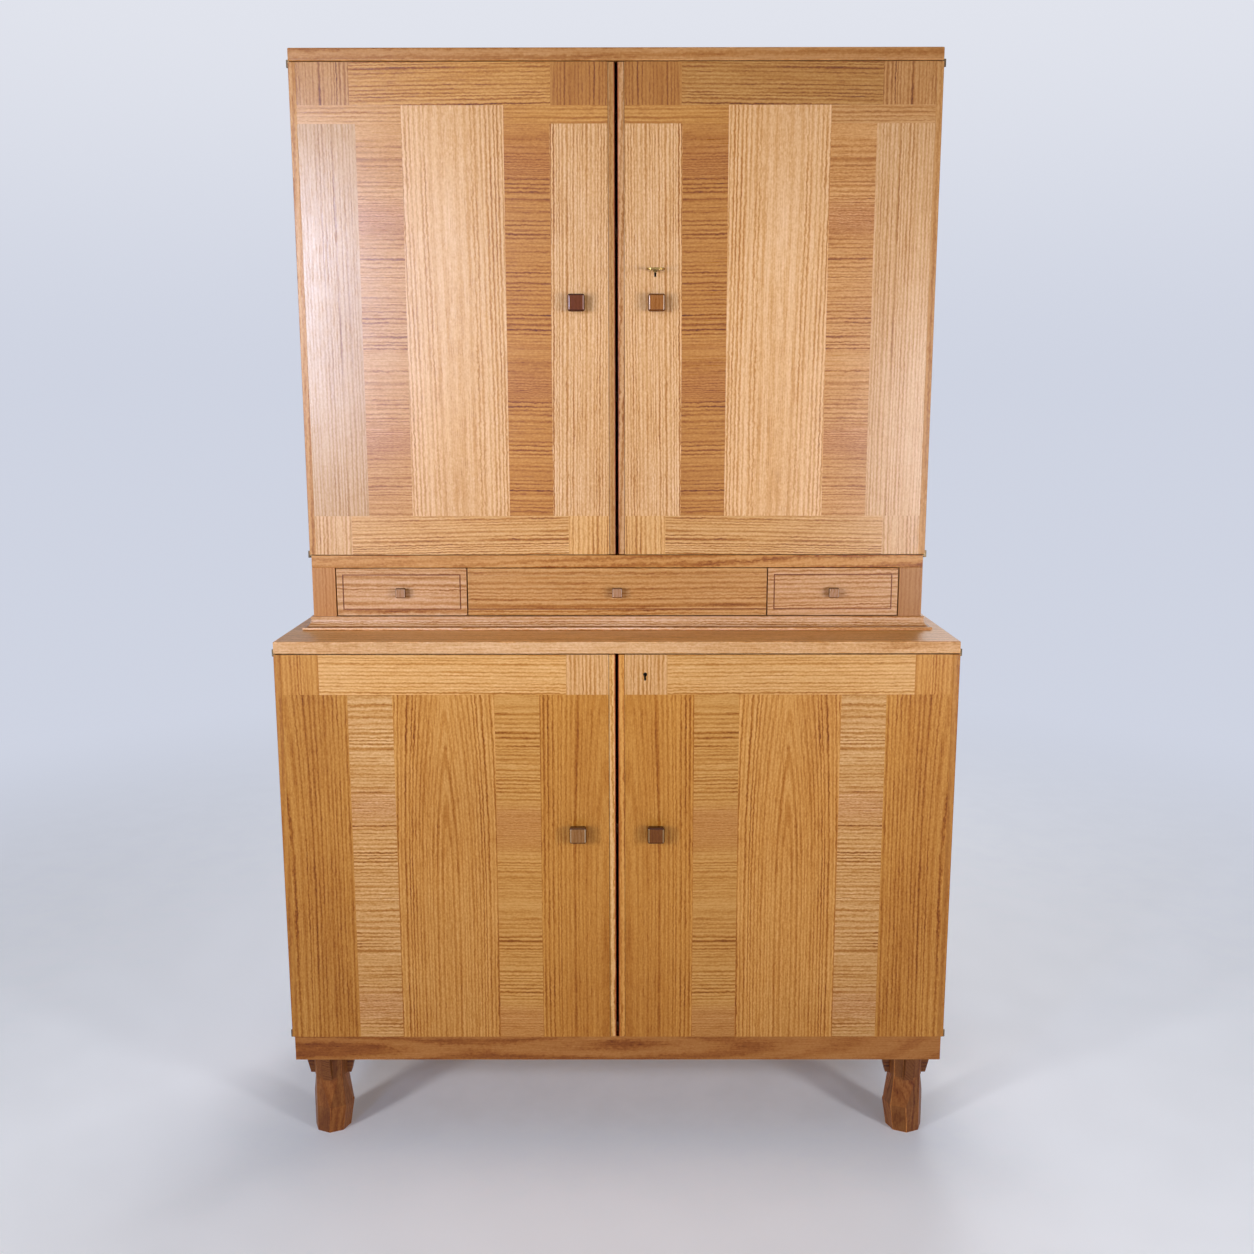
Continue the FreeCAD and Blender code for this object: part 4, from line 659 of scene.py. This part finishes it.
# Pith, ring width and contrast of the wood of each kind of piece; the pith line is left to chance if None
CUTS = {
    "door_core": ((0.4, 0.2, 0.0), 0.0056, 0.8),
    "lipping": ((0.09, 0.05, 0.0), 0.0042, 0.9),
    "knob": ((0.1, 0.06, 0.0), 0.0024, 0.4),
    "case_side": ((0.35, 0.08, 0.003), 0.0062, 0.75),
    "back_panel": ((0.02, 0.12, 0.006), 0.0075, 0.9),
    "inside_board": (None, 0.0048, 0.9),
    "drawer_front": (None, 0.0062, 1.1),
    "drawer_box": (None, 0.0048, 0.6),
    "drawer_deck": (None, 0.0048, 1.1),
    "drawer_post": (None, 0.0048, 0.55),
    "top_board": (None, 0.0048, 1.0),
    "waist_board": ((0.30, 0.012, 0.0), 0.0090, 1.2),
    "moulding": (None, 0.0048, 1.2),
    "base_frame": ((0.004, 0.030, 0.06), 0.0078, 1.15),
    "leg": ((0.09, 0.045, 0.02), 0.0062, 1.5),
    "bracket": (None, 0.0048, 1.2),
}

# How far the edges of each kind of piece are rounded, and in how many steps
EASES = {
    "meeting_lipping": (0.0014, 2),
    "thick_board": (0.0025, 3),
    "base_frame": (0.0012, 2),
    "drawer_front": (0.0012, 2),
    "leg": (0.0012, 2),
    "key_bow": (0.0010, 3),
    "board": (0.0010, 2),
    "thin_board": (0.0008, 2),
    "moulding": (0.0006, 2),
    "fitting": (0.0003, 1),
}

# Veneer leaves of a door by their place in the pattern, from the hinges to the meeting of the doors:
# grain axis, stain, tone on the left and right doors, pith, ring width, contrast
STRAIGHT = (0.31, 0.05, 0.0)
STRAIGHT_FAR = (-0.42, 0.06, 0.0)
LEAVES = {
    "upper": {
        "column": [(Z, "honey", (0.76, 0.90), STRAIGHT, 0.0060, 1.0),
                   (X, "flax", (1.05, 1.08), STRAIGHT, 0.0058, 1.5),
                   (Z, "honey", (0.98, 1.01), (0.004, 0.050, 0.0), 0.0054, 0.95),
                   (X, "russet", (0.98, 0.91), STRAIGHT, 0.0066, 1.35),
                   (Z, "honey", (0.97, 0.97), STRAIGHT_FAR, 0.0054, 1.1)],
        "top": [(Z, "flax", (0.95, 0.95), STRAIGHT, 0.0060, 1.3),
                (X, "amber", (0.91, 0.76), STRAIGHT_FAR, 0.0056, 1.3),
                (Z, "russet", (0.90, 0.86), STRAIGHT_FAR, 0.0064, 1.1)],
        "second": [(X, "rose", (1.04, 0.96), STRAIGHT, 0.0064, 1.15),
                   (X, "amber", (0.95, 0.90), STRAIGHT_FAR, 0.0064, 1.0)],
        "bottom": [(Z, "honey", (0.92, 0.90), STRAIGHT, 0.0064, 1.0),
                   (X, "wheat", (1.00, 0.95), STRAIGHT_FAR, 0.0056, 1.1),
                   (Z, "straw", (0.90, 0.87), STRAIGHT, 0.0066, 1.0)],
    },
    "lower": {
        "column": [(Z, "tawny", (0.92, 0.96), (0.058, 0.015, 0.06), 0.0066, 1.5),
                   (X, "wheat", (0.94, 0.90), STRAIGHT, 0.0062, 1.4),
                   (Z, "amber", (0.95, 0.97), (0.0, 0.004, 0.10), 0.0057, 1.25),
                   (X, "oat", (0.89, 0.85), STRAIGHT, 0.0062, 1.0),
                   (Z, "tawny", (0.99, 0.99), (-0.050, 0.015, 0.06), 0.0066, 1.25)],
        "top": [(Z, "amber", (0.95, 0.95), STRAIGHT, 0.0064, 1.0),
                (X, "straw", (0.90, 0.84), STRAIGHT_FAR, 0.0056, 0.90),
                (Z, "honey", (0.98, 0.94), STRAIGHT_FAR, 0.0064, 0.75)],
    },
}

# Height of the pieces stacked in a column with crosswise grain
CROSS_PIECE = 0.352

# A leaf taller than this stands in a column; one this near the door's top or bottom is in that row
TALL_LEAF = 0.3
ROW_REACH = 0.02

# Shares of the stain for painted shade on the walls of holes, which lie further than the margin inside the
# outline
HOLE_PAINTED_SHADE = (0.10, 0.07, 0.05)
HOLE_MARGIN = 0.001
HOLE_WALL_TURN = 0.5


def paint_shade_in_holes(solid):
    """Paint shade on the walls of the holes through a leaf or panel, such as a keyhole."""
    def shade(face):
        place = face.calc_center_median()
        inside = all(solid.low[axis] + HOLE_MARGIN < place[axis] < solid.high[axis] - HOLE_MARGIN
                     for axis in (X, Z))
        return HOLE_PAINTED_SHADE if inside and abs(face.normal.y) < HOLE_WALL_TURN else None

    solid.restain(shade)


def veneer_place(solid, door_low, door_high, siblings):
    """Which row or column of the door's pattern a leaf is in."""
    def kind(low, high):
        if high[Z] - low[Z] > TALL_LEAF:
            return "column"
        if door_high[Z] - high[Z] < ROW_REACH:
            return "top"
        if low[Z] - door_low[Z] < ROW_REACH:
            return "bottom"
        return "second"

    mine = kind(solid.low, solid.high)
    peers = sorted((abs((low[X] + high[X]) / 2) for low, high in siblings if kind(low, high) == mine),
                   reverse=True)
    reach = abs(solid.centre[X])
    return mine, min(range(len(peers)), key=lambda i: abs(peers[i] - reach))


def dress_veneer(node):
    """Leaves of a door: both doors of a pair are cut from the same stack, one turned over."""
    stage = node.split("_")[0]
    mesh = frame["nodes"][node].data
    boxes = []
    for start, end in solid_spans(mesh):
        places = [mesh.vertices[i].co for face in mesh.polygons[start:end] for i in face.vertices]
        boxes.append(([min(p[axis] for p in places) for axis in (X, Y, Z)],
                      [max(p[axis] for p in places) for axis in (X, Y, Z)]))
    low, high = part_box(node)

    def shape(solid, index):
        row, number = veneer_place(solid, low, high, boxes)
        grain, stain, tones, pith, ring, contrast = LEAVES[stage][row][number]
        crossed = row == "column" and grain == X
        tone = tones[side_of(node) == "right"]
        solid.saw(f"{stage}_{row}_{number}", stain, grain, pith, ring, contrast,
                  mirror=side_of(node) == "left", repeat=CROSS_PIECE if crossed else 0.0, tone=tone,
                  bands=1.0 if crossed else 0.0)
        paint_shade_in_holes(solid)

    return dress(node, shape, "lower_veneer" if stage == "lower" else None)


# Stain and tone of a lipping by stage, side and whether it is at the meeting of the doors
LIPPINGS = {
    ("upper", "left", True): ("rose", 0.86), ("upper", "right", True): ("case", 0.93),
    ("upper", "left", False): ("rose", 1.0), ("upper", "right", False): ("rose", 0.94),
    ("lower", "left", True): ("straw", 0.94), ("lower", "right", True): ("amber", 1.08),
    ("lower", "left", False): ("tawny", 0.92), ("lower", "right", False): ("tawny", 0.90),
}

# A solid narrower than this is a lipping; one this near the middle is at the meeting of the doors
LIPPING_WIDEST = 0.03
MEETING_REACH = 0.1

# Dark line of glue between a meeting lipping and the veneer
GLUE_LINE_WIDTH = 0.0014
GLUE_LINE_SHADE = {("upper", "left"): 0.62, ("upper", "right"): 0.55, ("lower", "left"): 0.40,
                   ("lower", "right"): 0.75}

# Painted shade, dark and red, on the rounded edges of a door at the meeting of the doors, and a darker
# rounded edge on the hinge side
EDGE_ROUND = 0.0013
GAP_PAINTED_SHADE = (0.55, 0.20, 0.10)
HINGE_EDGE_SHADE = (0.62, 0.48, 0.36)


def dress_panel(node):
    """Door panel: a core with a lipping along each upright edge."""
    stage, side = node.split("_")[:2]

    def shape(solid, index):
        lipping = solid.size[X] < LIPPING_WIDEST
        meeting = lipping and abs(solid.centre[X]) < MEETING_REACH
        solid.ease(*EASES["meeting_lipping" if meeting else "thin_board"], solid.on_outer_edge)
        if not lipping:
            solid.saw(node, "inside", Z, *CUTS["door_core"])
            paint_shade_in_holes(solid)
            return
        stain, tone = LIPPINGS[stage, side, meeting]
        glue_line = 0.0
        if meeting:
            inner = solid.low[X] if side == "left" else solid.high[X]
            glue_line = inner + math.copysign(GLUE_LINE_WIDTH, -inner)
            solid.split((glue_line, 0.0, 0.0), (1.0, 0.0, 0.0))
        solid.saw(f"{node}_{index}", stain, Z, *CUTS["lipping"], tone=tone)
        if meeting:
            glue = [GLUE_LINE_SHADE[stage, side]] * 3
            solid.restain(lambda face: glue if abs(face.calc_center_median().x) > abs(glue_line) else None)
        outer = solid.low[X] if (side == "left") != meeting else solid.high[X]
        # Painted shade of the gap on the meeting edges; the hinge-side edge is only made darker
        dark = GAP_PAINTED_SHADE if meeting else HINGE_EDGE_SHADE
        solid.restain(lambda face: dark if abs(face.calc_center_median().x - outer) < EDGE_ROUND else None)

    return dress(node, shape)


def dress_board(node, stain, cut, grain=None, ease="board", tone=1.0):
    """Boards, with their outer edges rounded where ease names how far."""
    def shape(solid, index):
        if ease:
            solid.ease(*EASES[ease], solid.on_outer_edge)
        solid.saw(f"{node}_{index}", stain, grain, *CUTS[cut], tone=tone)

    return dress(node, shape)


# How far behind a drawer's face its scratched border line is, and the painted shade in that groove and round
# the edge, in the gaps beside the drawer
SCRATCH_FROM = 0.0003
SCRATCH_TO = 0.0016
SCRATCH_PAINTED_SHADE = (0.46, 0.24, 0.10)
DRAWER_EDGE_TURN = -0.3
DRAWER_GAP_PAINTED_SHADE = (0.70, 0.42, 0.25)


def dress_drawer_front(node):
    """Drawer face with its edges eased, and painted shade in its scratched border and on its edges in the
    gaps round it.
    """
    def shape(solid, index):
        wide = node.startswith("middle")

        def painted_shading(face):
            place = face.calc_center_median()
            scratched = SCRATCH_FROM < place.y - solid.low[Y] < SCRATCH_TO and face[solid.arris] < MARKED
            # The middle drawer's upper border line is left without painted shade
            clean = wide and place.z > solid.centre[Z]
            if scratched and not clean:
                return SCRATCH_PAINTED_SHADE
            return DRAWER_GAP_PAINTED_SHADE if face.normal.y > DRAWER_EDGE_TURN else None

        solid.ease(*EASES["drawer_front"], solid.on_outer_edge)
        solid.saw(f"{node}_{index}", "wide_drawer" if wide else "small_drawer", X, *CUTS["drawer_front"])
        solid.restain(painted_shading)

    return dress(node, shape)


# A screw is round, thin and long for its width, and has more faces than a plain pin. Its head looks along
# it, and the slot's half width and taper are shares of its radius
ROUND_TOLERANCE = 1e-4
SCREW_THICKEST = 0.008
SCREW_RATIO = 2.5
SCREW_FACES = 40
HEAD_TURN = 0.99
SLOT_SHARE = 0.17
SLOT_TAPER = 0.02
SLOT_DEPTH = 0.0007


def cut_screw_slot(solid, turn):
    """Saw a driver's slot across the flat head of a screw."""
    lengths = list(solid.size)
    axis = lengths.index(max(lengths))
    flat = [face for face in solid.bm.faces if abs(face.normal[axis]) > HEAD_TURN]
    head = max(flat, key=lambda face: face.calc_area())
    radius = min(lengths) / 2
    centre = head.calc_center_median()
    normal = head.normal.copy()
    across = Matrix.Rotation(turn, 3, normal) @ Vector([float(a == (axis + 1) % 3) for a in (X, Y, Z)])
    strip = {head}
    for offset in (-1, 1):
        geom = set(strip)
        for face in strip:
            geom.update(face.edges)
            geom.update(face.verts)
        side = centre + across * (offset * SLOT_SHARE * radius)
        cut = bmesh.ops.bisect_plane(solid.bm, geom=list(geom), dist=WELD, plane_co=side, plane_no=across)
        strip = {item for item in cut["geom"] if isinstance(item, bmesh.types.BMFace)} | {
            face for face in strip if face.is_valid}
    middle = min(strip, key=lambda face: abs((face.calc_center_median() - centre).dot(across)))
    bmesh.ops.inset_individual(solid.bm, faces=[middle], thickness=radius * SLOT_TAPER, depth=-SLOT_DEPTH)


def dress_metal(node, finish=None):
    """Metal fittings: edges eased, screws slotted."""
    def shape(solid, index):
        thin, wide, long = sorted(solid.size)
        if wide - thin < ROUND_TOLERANCE and long > SCREW_RATIO * wide and thin < SCREW_THICKEST:
            if len(solid.bm.faces) > SCREW_FACES:
                cut_screw_slot(solid, random.Random(f"{node}_{index}").uniform(0.0, math.pi))
        else:
            solid.ease(*EASES["fitting"], solid.on_outer_edge)

    return dress(node, shape, finish)


# Half the thickness of the key's bow, and how far it reaches from the key's front end
BOW_HALF_THICKNESS = 0.0014
BOW_LENGTH = 0.0188


def dress_key():
    """Key with the flat outline of its bow worn round."""
    def shape(solid, index):
        def on_bow_face(edge):
            return all(abs(abs(vertex.co.z - middle) - BOW_HALF_THICKNESS) < EDGE_TOLERANCE
                       and vertex.co.y < bow_end for vertex in edge.verts)

        middle = solid.centre[Z]
        bow_end = solid.low[Y] + BOW_LENGTH
        solid.ease(*EASES["key_bow"], on_bow_face)

    return dress("key", shape)


# Stain of each knob
KNOB_STAINS = {
    "upper_left_door": "plum_knob", "upper_right_door": "red_knob", "lower_left_door": "brown_knob",
    "lower_right_door": "dark_knob", "left_drawer": "pale_knob", "middle_drawer": "pale_knob",
    "right_drawer": "pale_knob",
}

# Shares of a knob's stain for the painted shade round its rim and the painted highlights on its upright
# edges, and how far a face turns to be one of them
KNOB_RIM_PAINTED_SHADE = (0.42, 0.36, 0.30)
KNOB_PAINTED_HIGHLIGHT = {
    "plum_knob": (3.0, 7.5, 28.0), "red_knob": (1.9, 3.6, 14.0), "brown_knob": (1.7, 2.6, 5.5),
    "dark_knob": (2.2, 4.6, 22.0), "pale_knob": (1.4, 1.8, 2.4),
}
KNOB_HIGHLIGHT_FROM = 0.24
KNOB_HIGHLIGHT_TO = 0.62
KNOB_DARK_FROM = 0.30


def dress_knob(name):
    """Square knob, each from a different piece: painted highlights on its upright edges, painted shade on
    the rest of its rim.
    """
    node = f"{name}_knob"
    stain = KNOB_STAINS[name]

    def rim(face):
        aside, facing, upward = abs(face.normal.x), -face.normal.y, abs(face.normal.z)
        if facing < KNOB_DARK_FROM or upward > KNOB_DARK_FROM or aside > KNOB_HIGHLIGHT_TO:
            return KNOB_RIM_PAINTED_SHADE
        return KNOB_PAINTED_HIGHLIGHT[stain] if aside > KNOB_HIGHLIGHT_FROM else None

    def shape(solid, index):
        solid.saw(node, stain, Z, *CUTS["knob"])
        solid.restain(rim)

    return dress(node, shape)


# Painted light on the waist board's top: shares of the stain there, and how far upwards a face looks to be
# part of it
SILL_TOP_PAINTED_LIGHT = (1.26, 1.20, 0.84)
SILL_TOP_TURN = 0.9


def dress_waist_board():
    """Board between the two stages, with strong grain and painted light on its top."""
    def shape(solid, index):
        solid.ease(*EASES["thick_board"], solid.on_outer_edge)
        solid.saw(f"waist_board_{index}", "sill", X, *CUTS["waist_board"])
        solid.restain(lambda face: SILL_TOP_PAINTED_LIGHT if face.normal.z > SILL_TOP_TURN else None)

    return dress("waist_board", shape)


# Heights up the moulding of its bead and of the quirk above it, and their shares of the stain: a painted
# highlight on the bead and painted shade in the quirk
BEAD_TOP = 0.0049
QUIRK_TOP = 0.0060
BEAD_PAINTED_HIGHLIGHT = (1.22, 1.28, 1.40)
QUIRK_PAINTED_SHADE = (0.62, 0.50, 0.40)


def dress_moulding():
    """Moulding with a painted highlight on its bead and painted shade in the quirk over it."""
    def shape(solid, index):
        def painted_shading(face):
            height = face.calc_center_median().z - solid.low[Z]
            if height < BEAD_TOP:
                return BEAD_PAINTED_HIGHLIGHT
            return QUIRK_PAINTED_SHADE if height < QUIRK_TOP else None

        solid.ease(*EASES["moulding"], solid.on_outer_edge)
        solid.saw(f"waist_moulding_{index}", "moulding", None, *CUTS["moulding"])
        solid.restain(painted_shading)

    return dress("waist_moulding", shape)


LEFT_POST_TONE = 1.15
RIGHT_POST_TONE = 0.96


def dress_posts():
    """Posts beside the drawers: plain wood, the right one darker."""
    def shape(solid, index):
        tone = LEFT_POST_TONE if solid.centre[X] < 0 else RIGHT_POST_TONE
        solid.ease(*EASES["thin_board"], solid.on_outer_edge)
        solid.saw(f"drawer_post_{index}", "post", Z, *CUTS["drawer_post"], tone=tone)

    return dress("drawer_posts", shape)


# Painted highlight on the ridges of a leg, and how far the painted shade of its facets differs; the mix
# gives each direction a different painted shade
RIDGE_PAINTED_HIGHLIGHT = (1.55, 1.75, 2.0)
FACET_PAINTED_SHADE = 0.24
FACET_MIX = Vector((7.0, 5.0, 11.0))


def dress_leg(node):
    """Hand-cut leg: each facet painted a different shade by the way it faces, and painted highlights on the
    ridges.
    """
    def shape(solid, index):
        def painted_facet_light(face):
            if face[solid.arris] > MARKED:
                return RIDGE_PAINTED_HIGHLIGHT
            return [1.0 + FACET_PAINTED_SHADE * math.sin(face.normal.dot(FACET_MIX))] * 3

        solid.ease(*EASES["leg"])
        solid.saw(node, "leg", Z, *CUTS["leg"])
        solid.restain(painted_facet_light)

    return dress(node, shape)


BRACKET_TONE = 0.66

for stage in ("upper", "lower"):
    for side in ("left", "right"):
        dress_veneer(f"{stage}_{side}_door_veneer")
        dress_panel(f"{stage}_{side}_door_panel")
        dress_knob(f"{stage}_{side}_door")
        dress_metal(f"{stage}_{side}_door_hinge_leaves", finish="dark_brass")
        dress_board(f"{stage}_{side}_side", "case", "case_side", Z)
for name in ("left", "middle", "right"):
    dress_drawer_front(f"{name}_drawer_front")
    dress_board(f"{name}_drawer_box", "pale", "drawer_box", ease="thin_board")
    dress_knob(f"{name}_drawer")
for name in ("front_left", "front_right", "rear_left", "rear_right"):
    dress_leg(f"leg_{name}")
dress_board("leg_cross_brackets", "leg", "bracket", ease="thin_board", tone=BRACKET_TONE)
dress_board("base_frame", "walnut", "base_frame", ease="base_frame")
dress_board("top_board", "crown", "top_board", X, ease="thick_board")
dress_waist_board()
dress_moulding()
dress_board("drawer_deck", "rail", "drawer_deck", X)
dress_posts()
for name in ("lower_bottom_board", "upper_bottom_board", "drawer_dividers", "shelves"):
    dress_board(name, "inside", "inside_board")
for name in ("lower_back_panel", "upper_back_panel"):
    dress_board(name, "inside", "back_panel", Z, ease=None)
dress_metal("case_hinge_leaves", finish="dark_brass")
for name in ("shelf_pegs", "case_fasteners", "upper_lock_bolt", "upper_lock_strike",
             "lower_lock_bolt", "upper_left_door_bolt", "upper_left_door_bolt_plate",
             "lower_left_door_bolt", "lower_left_door_bolt_plate"):
    dress_metal(name)
for name in ("upper_lock", "lower_lock"):
    dress_metal(name, finish="lock_iron")
dress_key()

# Backdrop at the horizon and higher up, how high it is fully the second, and the light that the room gives
BACKDROP = (0.62, 0.655, 0.76, 1.0)
BACKDROP_HIGH = (0.76, 0.78, 0.85, 1.0)
BACKDROP_RISE = 0.32
ROOM_LIGHT = (0.96, 0.97, 1.0, 1.0)
ROOM_STRENGTH = 0.15

# Floor: its paint, faint mottling, roughness, half width, and where it runs out into the backdrop
FLOOR_PAINT = (0.84, 0.87, 0.95, 1.0)
MOTTLE_SCALE = 9.0
MOTTLE_RAMP = (0.3, 0.7)
MOTTLE_PALER = 1.05
FLOOR_ROUGHNESS = 0.7
FLOOR_HALF = 30.0
FLOOR_END = (0.9, 3.4)

# Light that the floor adds, which fades out under the case: half the width and depth of the dark part, and
# from how far inside to how far outside it the light comes in
FLOOR_GLOW = 0.18
UNDER_CASE = (0.50, 0.19)
GLOW_RAMP = (-0.12, 0.30)

# Lamps: place, target, width and height, power, colour and spread in degrees
LAMPS = {
    "left_strip": ((-1.20, -2.30, 1.60), (-0.48, -0.10, 1.42), (0.35, 0.80), 7.8, (0.56, 0.70, 1.0), 70.0),
    "right_strip": ((1.28, -2.30, 1.12), (0.48, -0.10, 1.15), (0.35, 0.70), 3.2, (0.72, 0.82, 1.0), 70.0),
    "left_fill": ((-1.90, -2.00, 1.15), (-0.10, -0.15, 0.95), (0.32, 0.55), 26.6, (1.0, 0.99, 0.98), 180.0),
    "right_fill": ((1.90, -2.00, 1.15), (0.10, -0.15, 0.85), (0.32, 0.55), 22.3, (1.0, 0.99, 0.98), 180.0),
    "rear_fill": ((0.70, 2.60, 2.70), (0.0, 0.20, 1.20), (1.60, 1.20), 40.0, (1.0, 0.99, 0.97), 180.0),
}

# Camera: place, turn in radians, lens and sensor width in millimetres, and how far it sees in metres
CAMERA_PLACE = (0.0201, -2.2011, 1.2519)
CAMERA_PITCH = 0.1744
CAMERA_YAW = -0.0017
CAMERA_ROLL = 0.0012
CAMERA_LENS = 36.0
CAMERA_SENSOR = 36.0
CAMERA_REACH = 100.0


def seen_directly(bench):
    """1 for rays from the camera, off gloss or through glass."""
    path = bench.node("ShaderNodeLightPath").outputs
    return bench.sum("MAXIMUM", bench.sum("MAXIMUM", path["Is Camera Ray"], path["Is Glossy Ray"]),
                     path["Is Transmission Ray"])


def make_floor():
    """Pale painted floor that runs out into the backdrop."""
    bm = bmesh.new()
    bmesh.ops.create_grid(bm, x_segments=1, y_segments=1, size=FLOOR_HALF)
    mesh = bpy.data.meshes.new("floor")
    bm.to_mesh(mesh)
    bm.free()
    floor = bpy.data.objects.new("floor", mesh)
    bpy.context.scene.collection.objects.link(floor)
    material, bench, shader = new_material("floor_paint")
    place = bench.node("ShaderNodeTexCoord").outputs["Object"]
    mottle = bench.noise(bench.scaled(place, MOTTLE_SCALE), detail=6.0, roughness=0.6)
    mottle = bench.ramp(mottle, *MOTTLE_RAMP)
    paler = [channel * MOTTLE_PALER for channel in FLOOR_PAINT[:3]] + [1.0]
    bench.feed(shader.inputs["Base Color"], bench.blend(mottle, FLOOR_PAINT, paler))
    shader.inputs["Roughness"].default_value = FLOOR_ROUGHNESS
    shader.inputs["Emission Color"].default_value = FLOOR_PAINT
    aside, outward = bench.split(bench.vector_sum("ABSOLUTE", place))[:2]
    past_case = bench.sum("MAXIMUM", bench.sum("SUBTRACT", aside, UNDER_CASE[X]),
                          bench.sum("SUBTRACT", outward, UNDER_CASE[Y]))
    open_floor = bench.ramp(past_case, *GLOW_RAMP, 0.0, FLOOR_GLOW)
    bench.feed(shader.inputs["Emission Strength"], bench.sum("MULTIPLY", seen_directly(bench), open_floor))
    far = bench.sum("MULTIPLY", bench.ramp(bench.length(place), *FLOOR_END), seen_directly(bench))
    glow = bench.node("ShaderNodeEmission", {"Color": BACKDROP, "Strength": 1.0})
    mixed = bench.node("ShaderNodeMixShader", {0: far, 1: shader.outputs[0], 2: glow.outputs[0]})
    output = next(node for node in bench.tree.nodes if node.type == "OUTPUT_MATERIAL")
    bench.feed(output.inputs["Surface"], mixed.outputs[0])
    mesh.materials.append(material)


def make_world():
    """Even pale room light, seen as the backdrop."""
    world = bpy.data.worlds.new("room")
    bpy.context.scene.world = world
    world.use_nodes = True
    world.node_tree.nodes.clear()
    bench = Bench(world.node_tree)
    room = bench.node("ShaderNodeBackground", {"Color": ROOM_LIGHT, "Strength": ROOM_STRENGTH})
    height = bench.split(bench.node("ShaderNodeTexCoord").outputs["Generated"])[Z]
    wall = bench.blend(bench.ramp(height, 0.0, BACKDROP_RISE), BACKDROP, BACKDROP_HIGH)
    backdrop = bench.node("ShaderNodeBackground", {"Color": wall, "Strength": 1.0})
    mixed = bench.node("ShaderNodeMixShader", {0: seen_directly(bench), 1: room.outputs[0],
                                               2: backdrop.outputs[0]})
    output = bench.node("ShaderNodeOutputWorld")
    bench.feed(output.inputs["Surface"], mixed.outputs[0])


def make_lamp(name, place, target, size, power, colour, spread):
    """Rectangular lamp turned towards its target."""
    lamp = bpy.data.lights.new(name, "AREA")
    lamp.shape = "RECTANGLE"
    lamp.spread = math.radians(spread)
    lamp.size, lamp.size_y = size
    lamp.energy = power
    lamp.color = colour
    holder = bpy.data.objects.new(name, lamp)
    holder.location = place
    holder.rotation_euler = (Vector(target) - Vector(place)).to_track_quat("-Z", "Y").to_euler()
    bpy.context.scene.collection.objects.link(holder)


def make_camera():
    """Camera at the photograph's place: a little above the waist, looking slightly down."""
    pitch, yaw, roll = CAMERA_PITCH, CAMERA_YAW, CAMERA_ROLL
    forward = Vector((math.sin(yaw) * math.cos(pitch), math.cos(yaw) * math.cos(pitch), -math.sin(pitch)))
    level = Vector((math.cos(yaw), -math.sin(yaw), 0.0))
    down = forward.cross(level)
    right = math.cos(roll) * level + math.sin(roll) * down
    lower = -math.sin(roll) * level + math.cos(roll) * down
    lens = bpy.data.cameras.new("camera")
    lens.sensor_width = CAMERA_SENSOR
    lens.lens = CAMERA_LENS
    lens.clip_end = CAMERA_REACH
    camera = bpy.data.objects.new("camera", lens)
    turn = Matrix((right, -lower, -forward)).transposed().to_4x4()
    camera.matrix_world = Matrix.Translation(CAMERA_PLACE) @ turn
    bpy.context.scene.collection.objects.link(camera)
    bpy.context.scene.camera = camera


make_floor()
make_world()
for name, settings in LAMPS.items():
    make_lamp(name, *settings)
make_camera()
bpy.context.scene.view_settings.view_transform = "Standard"
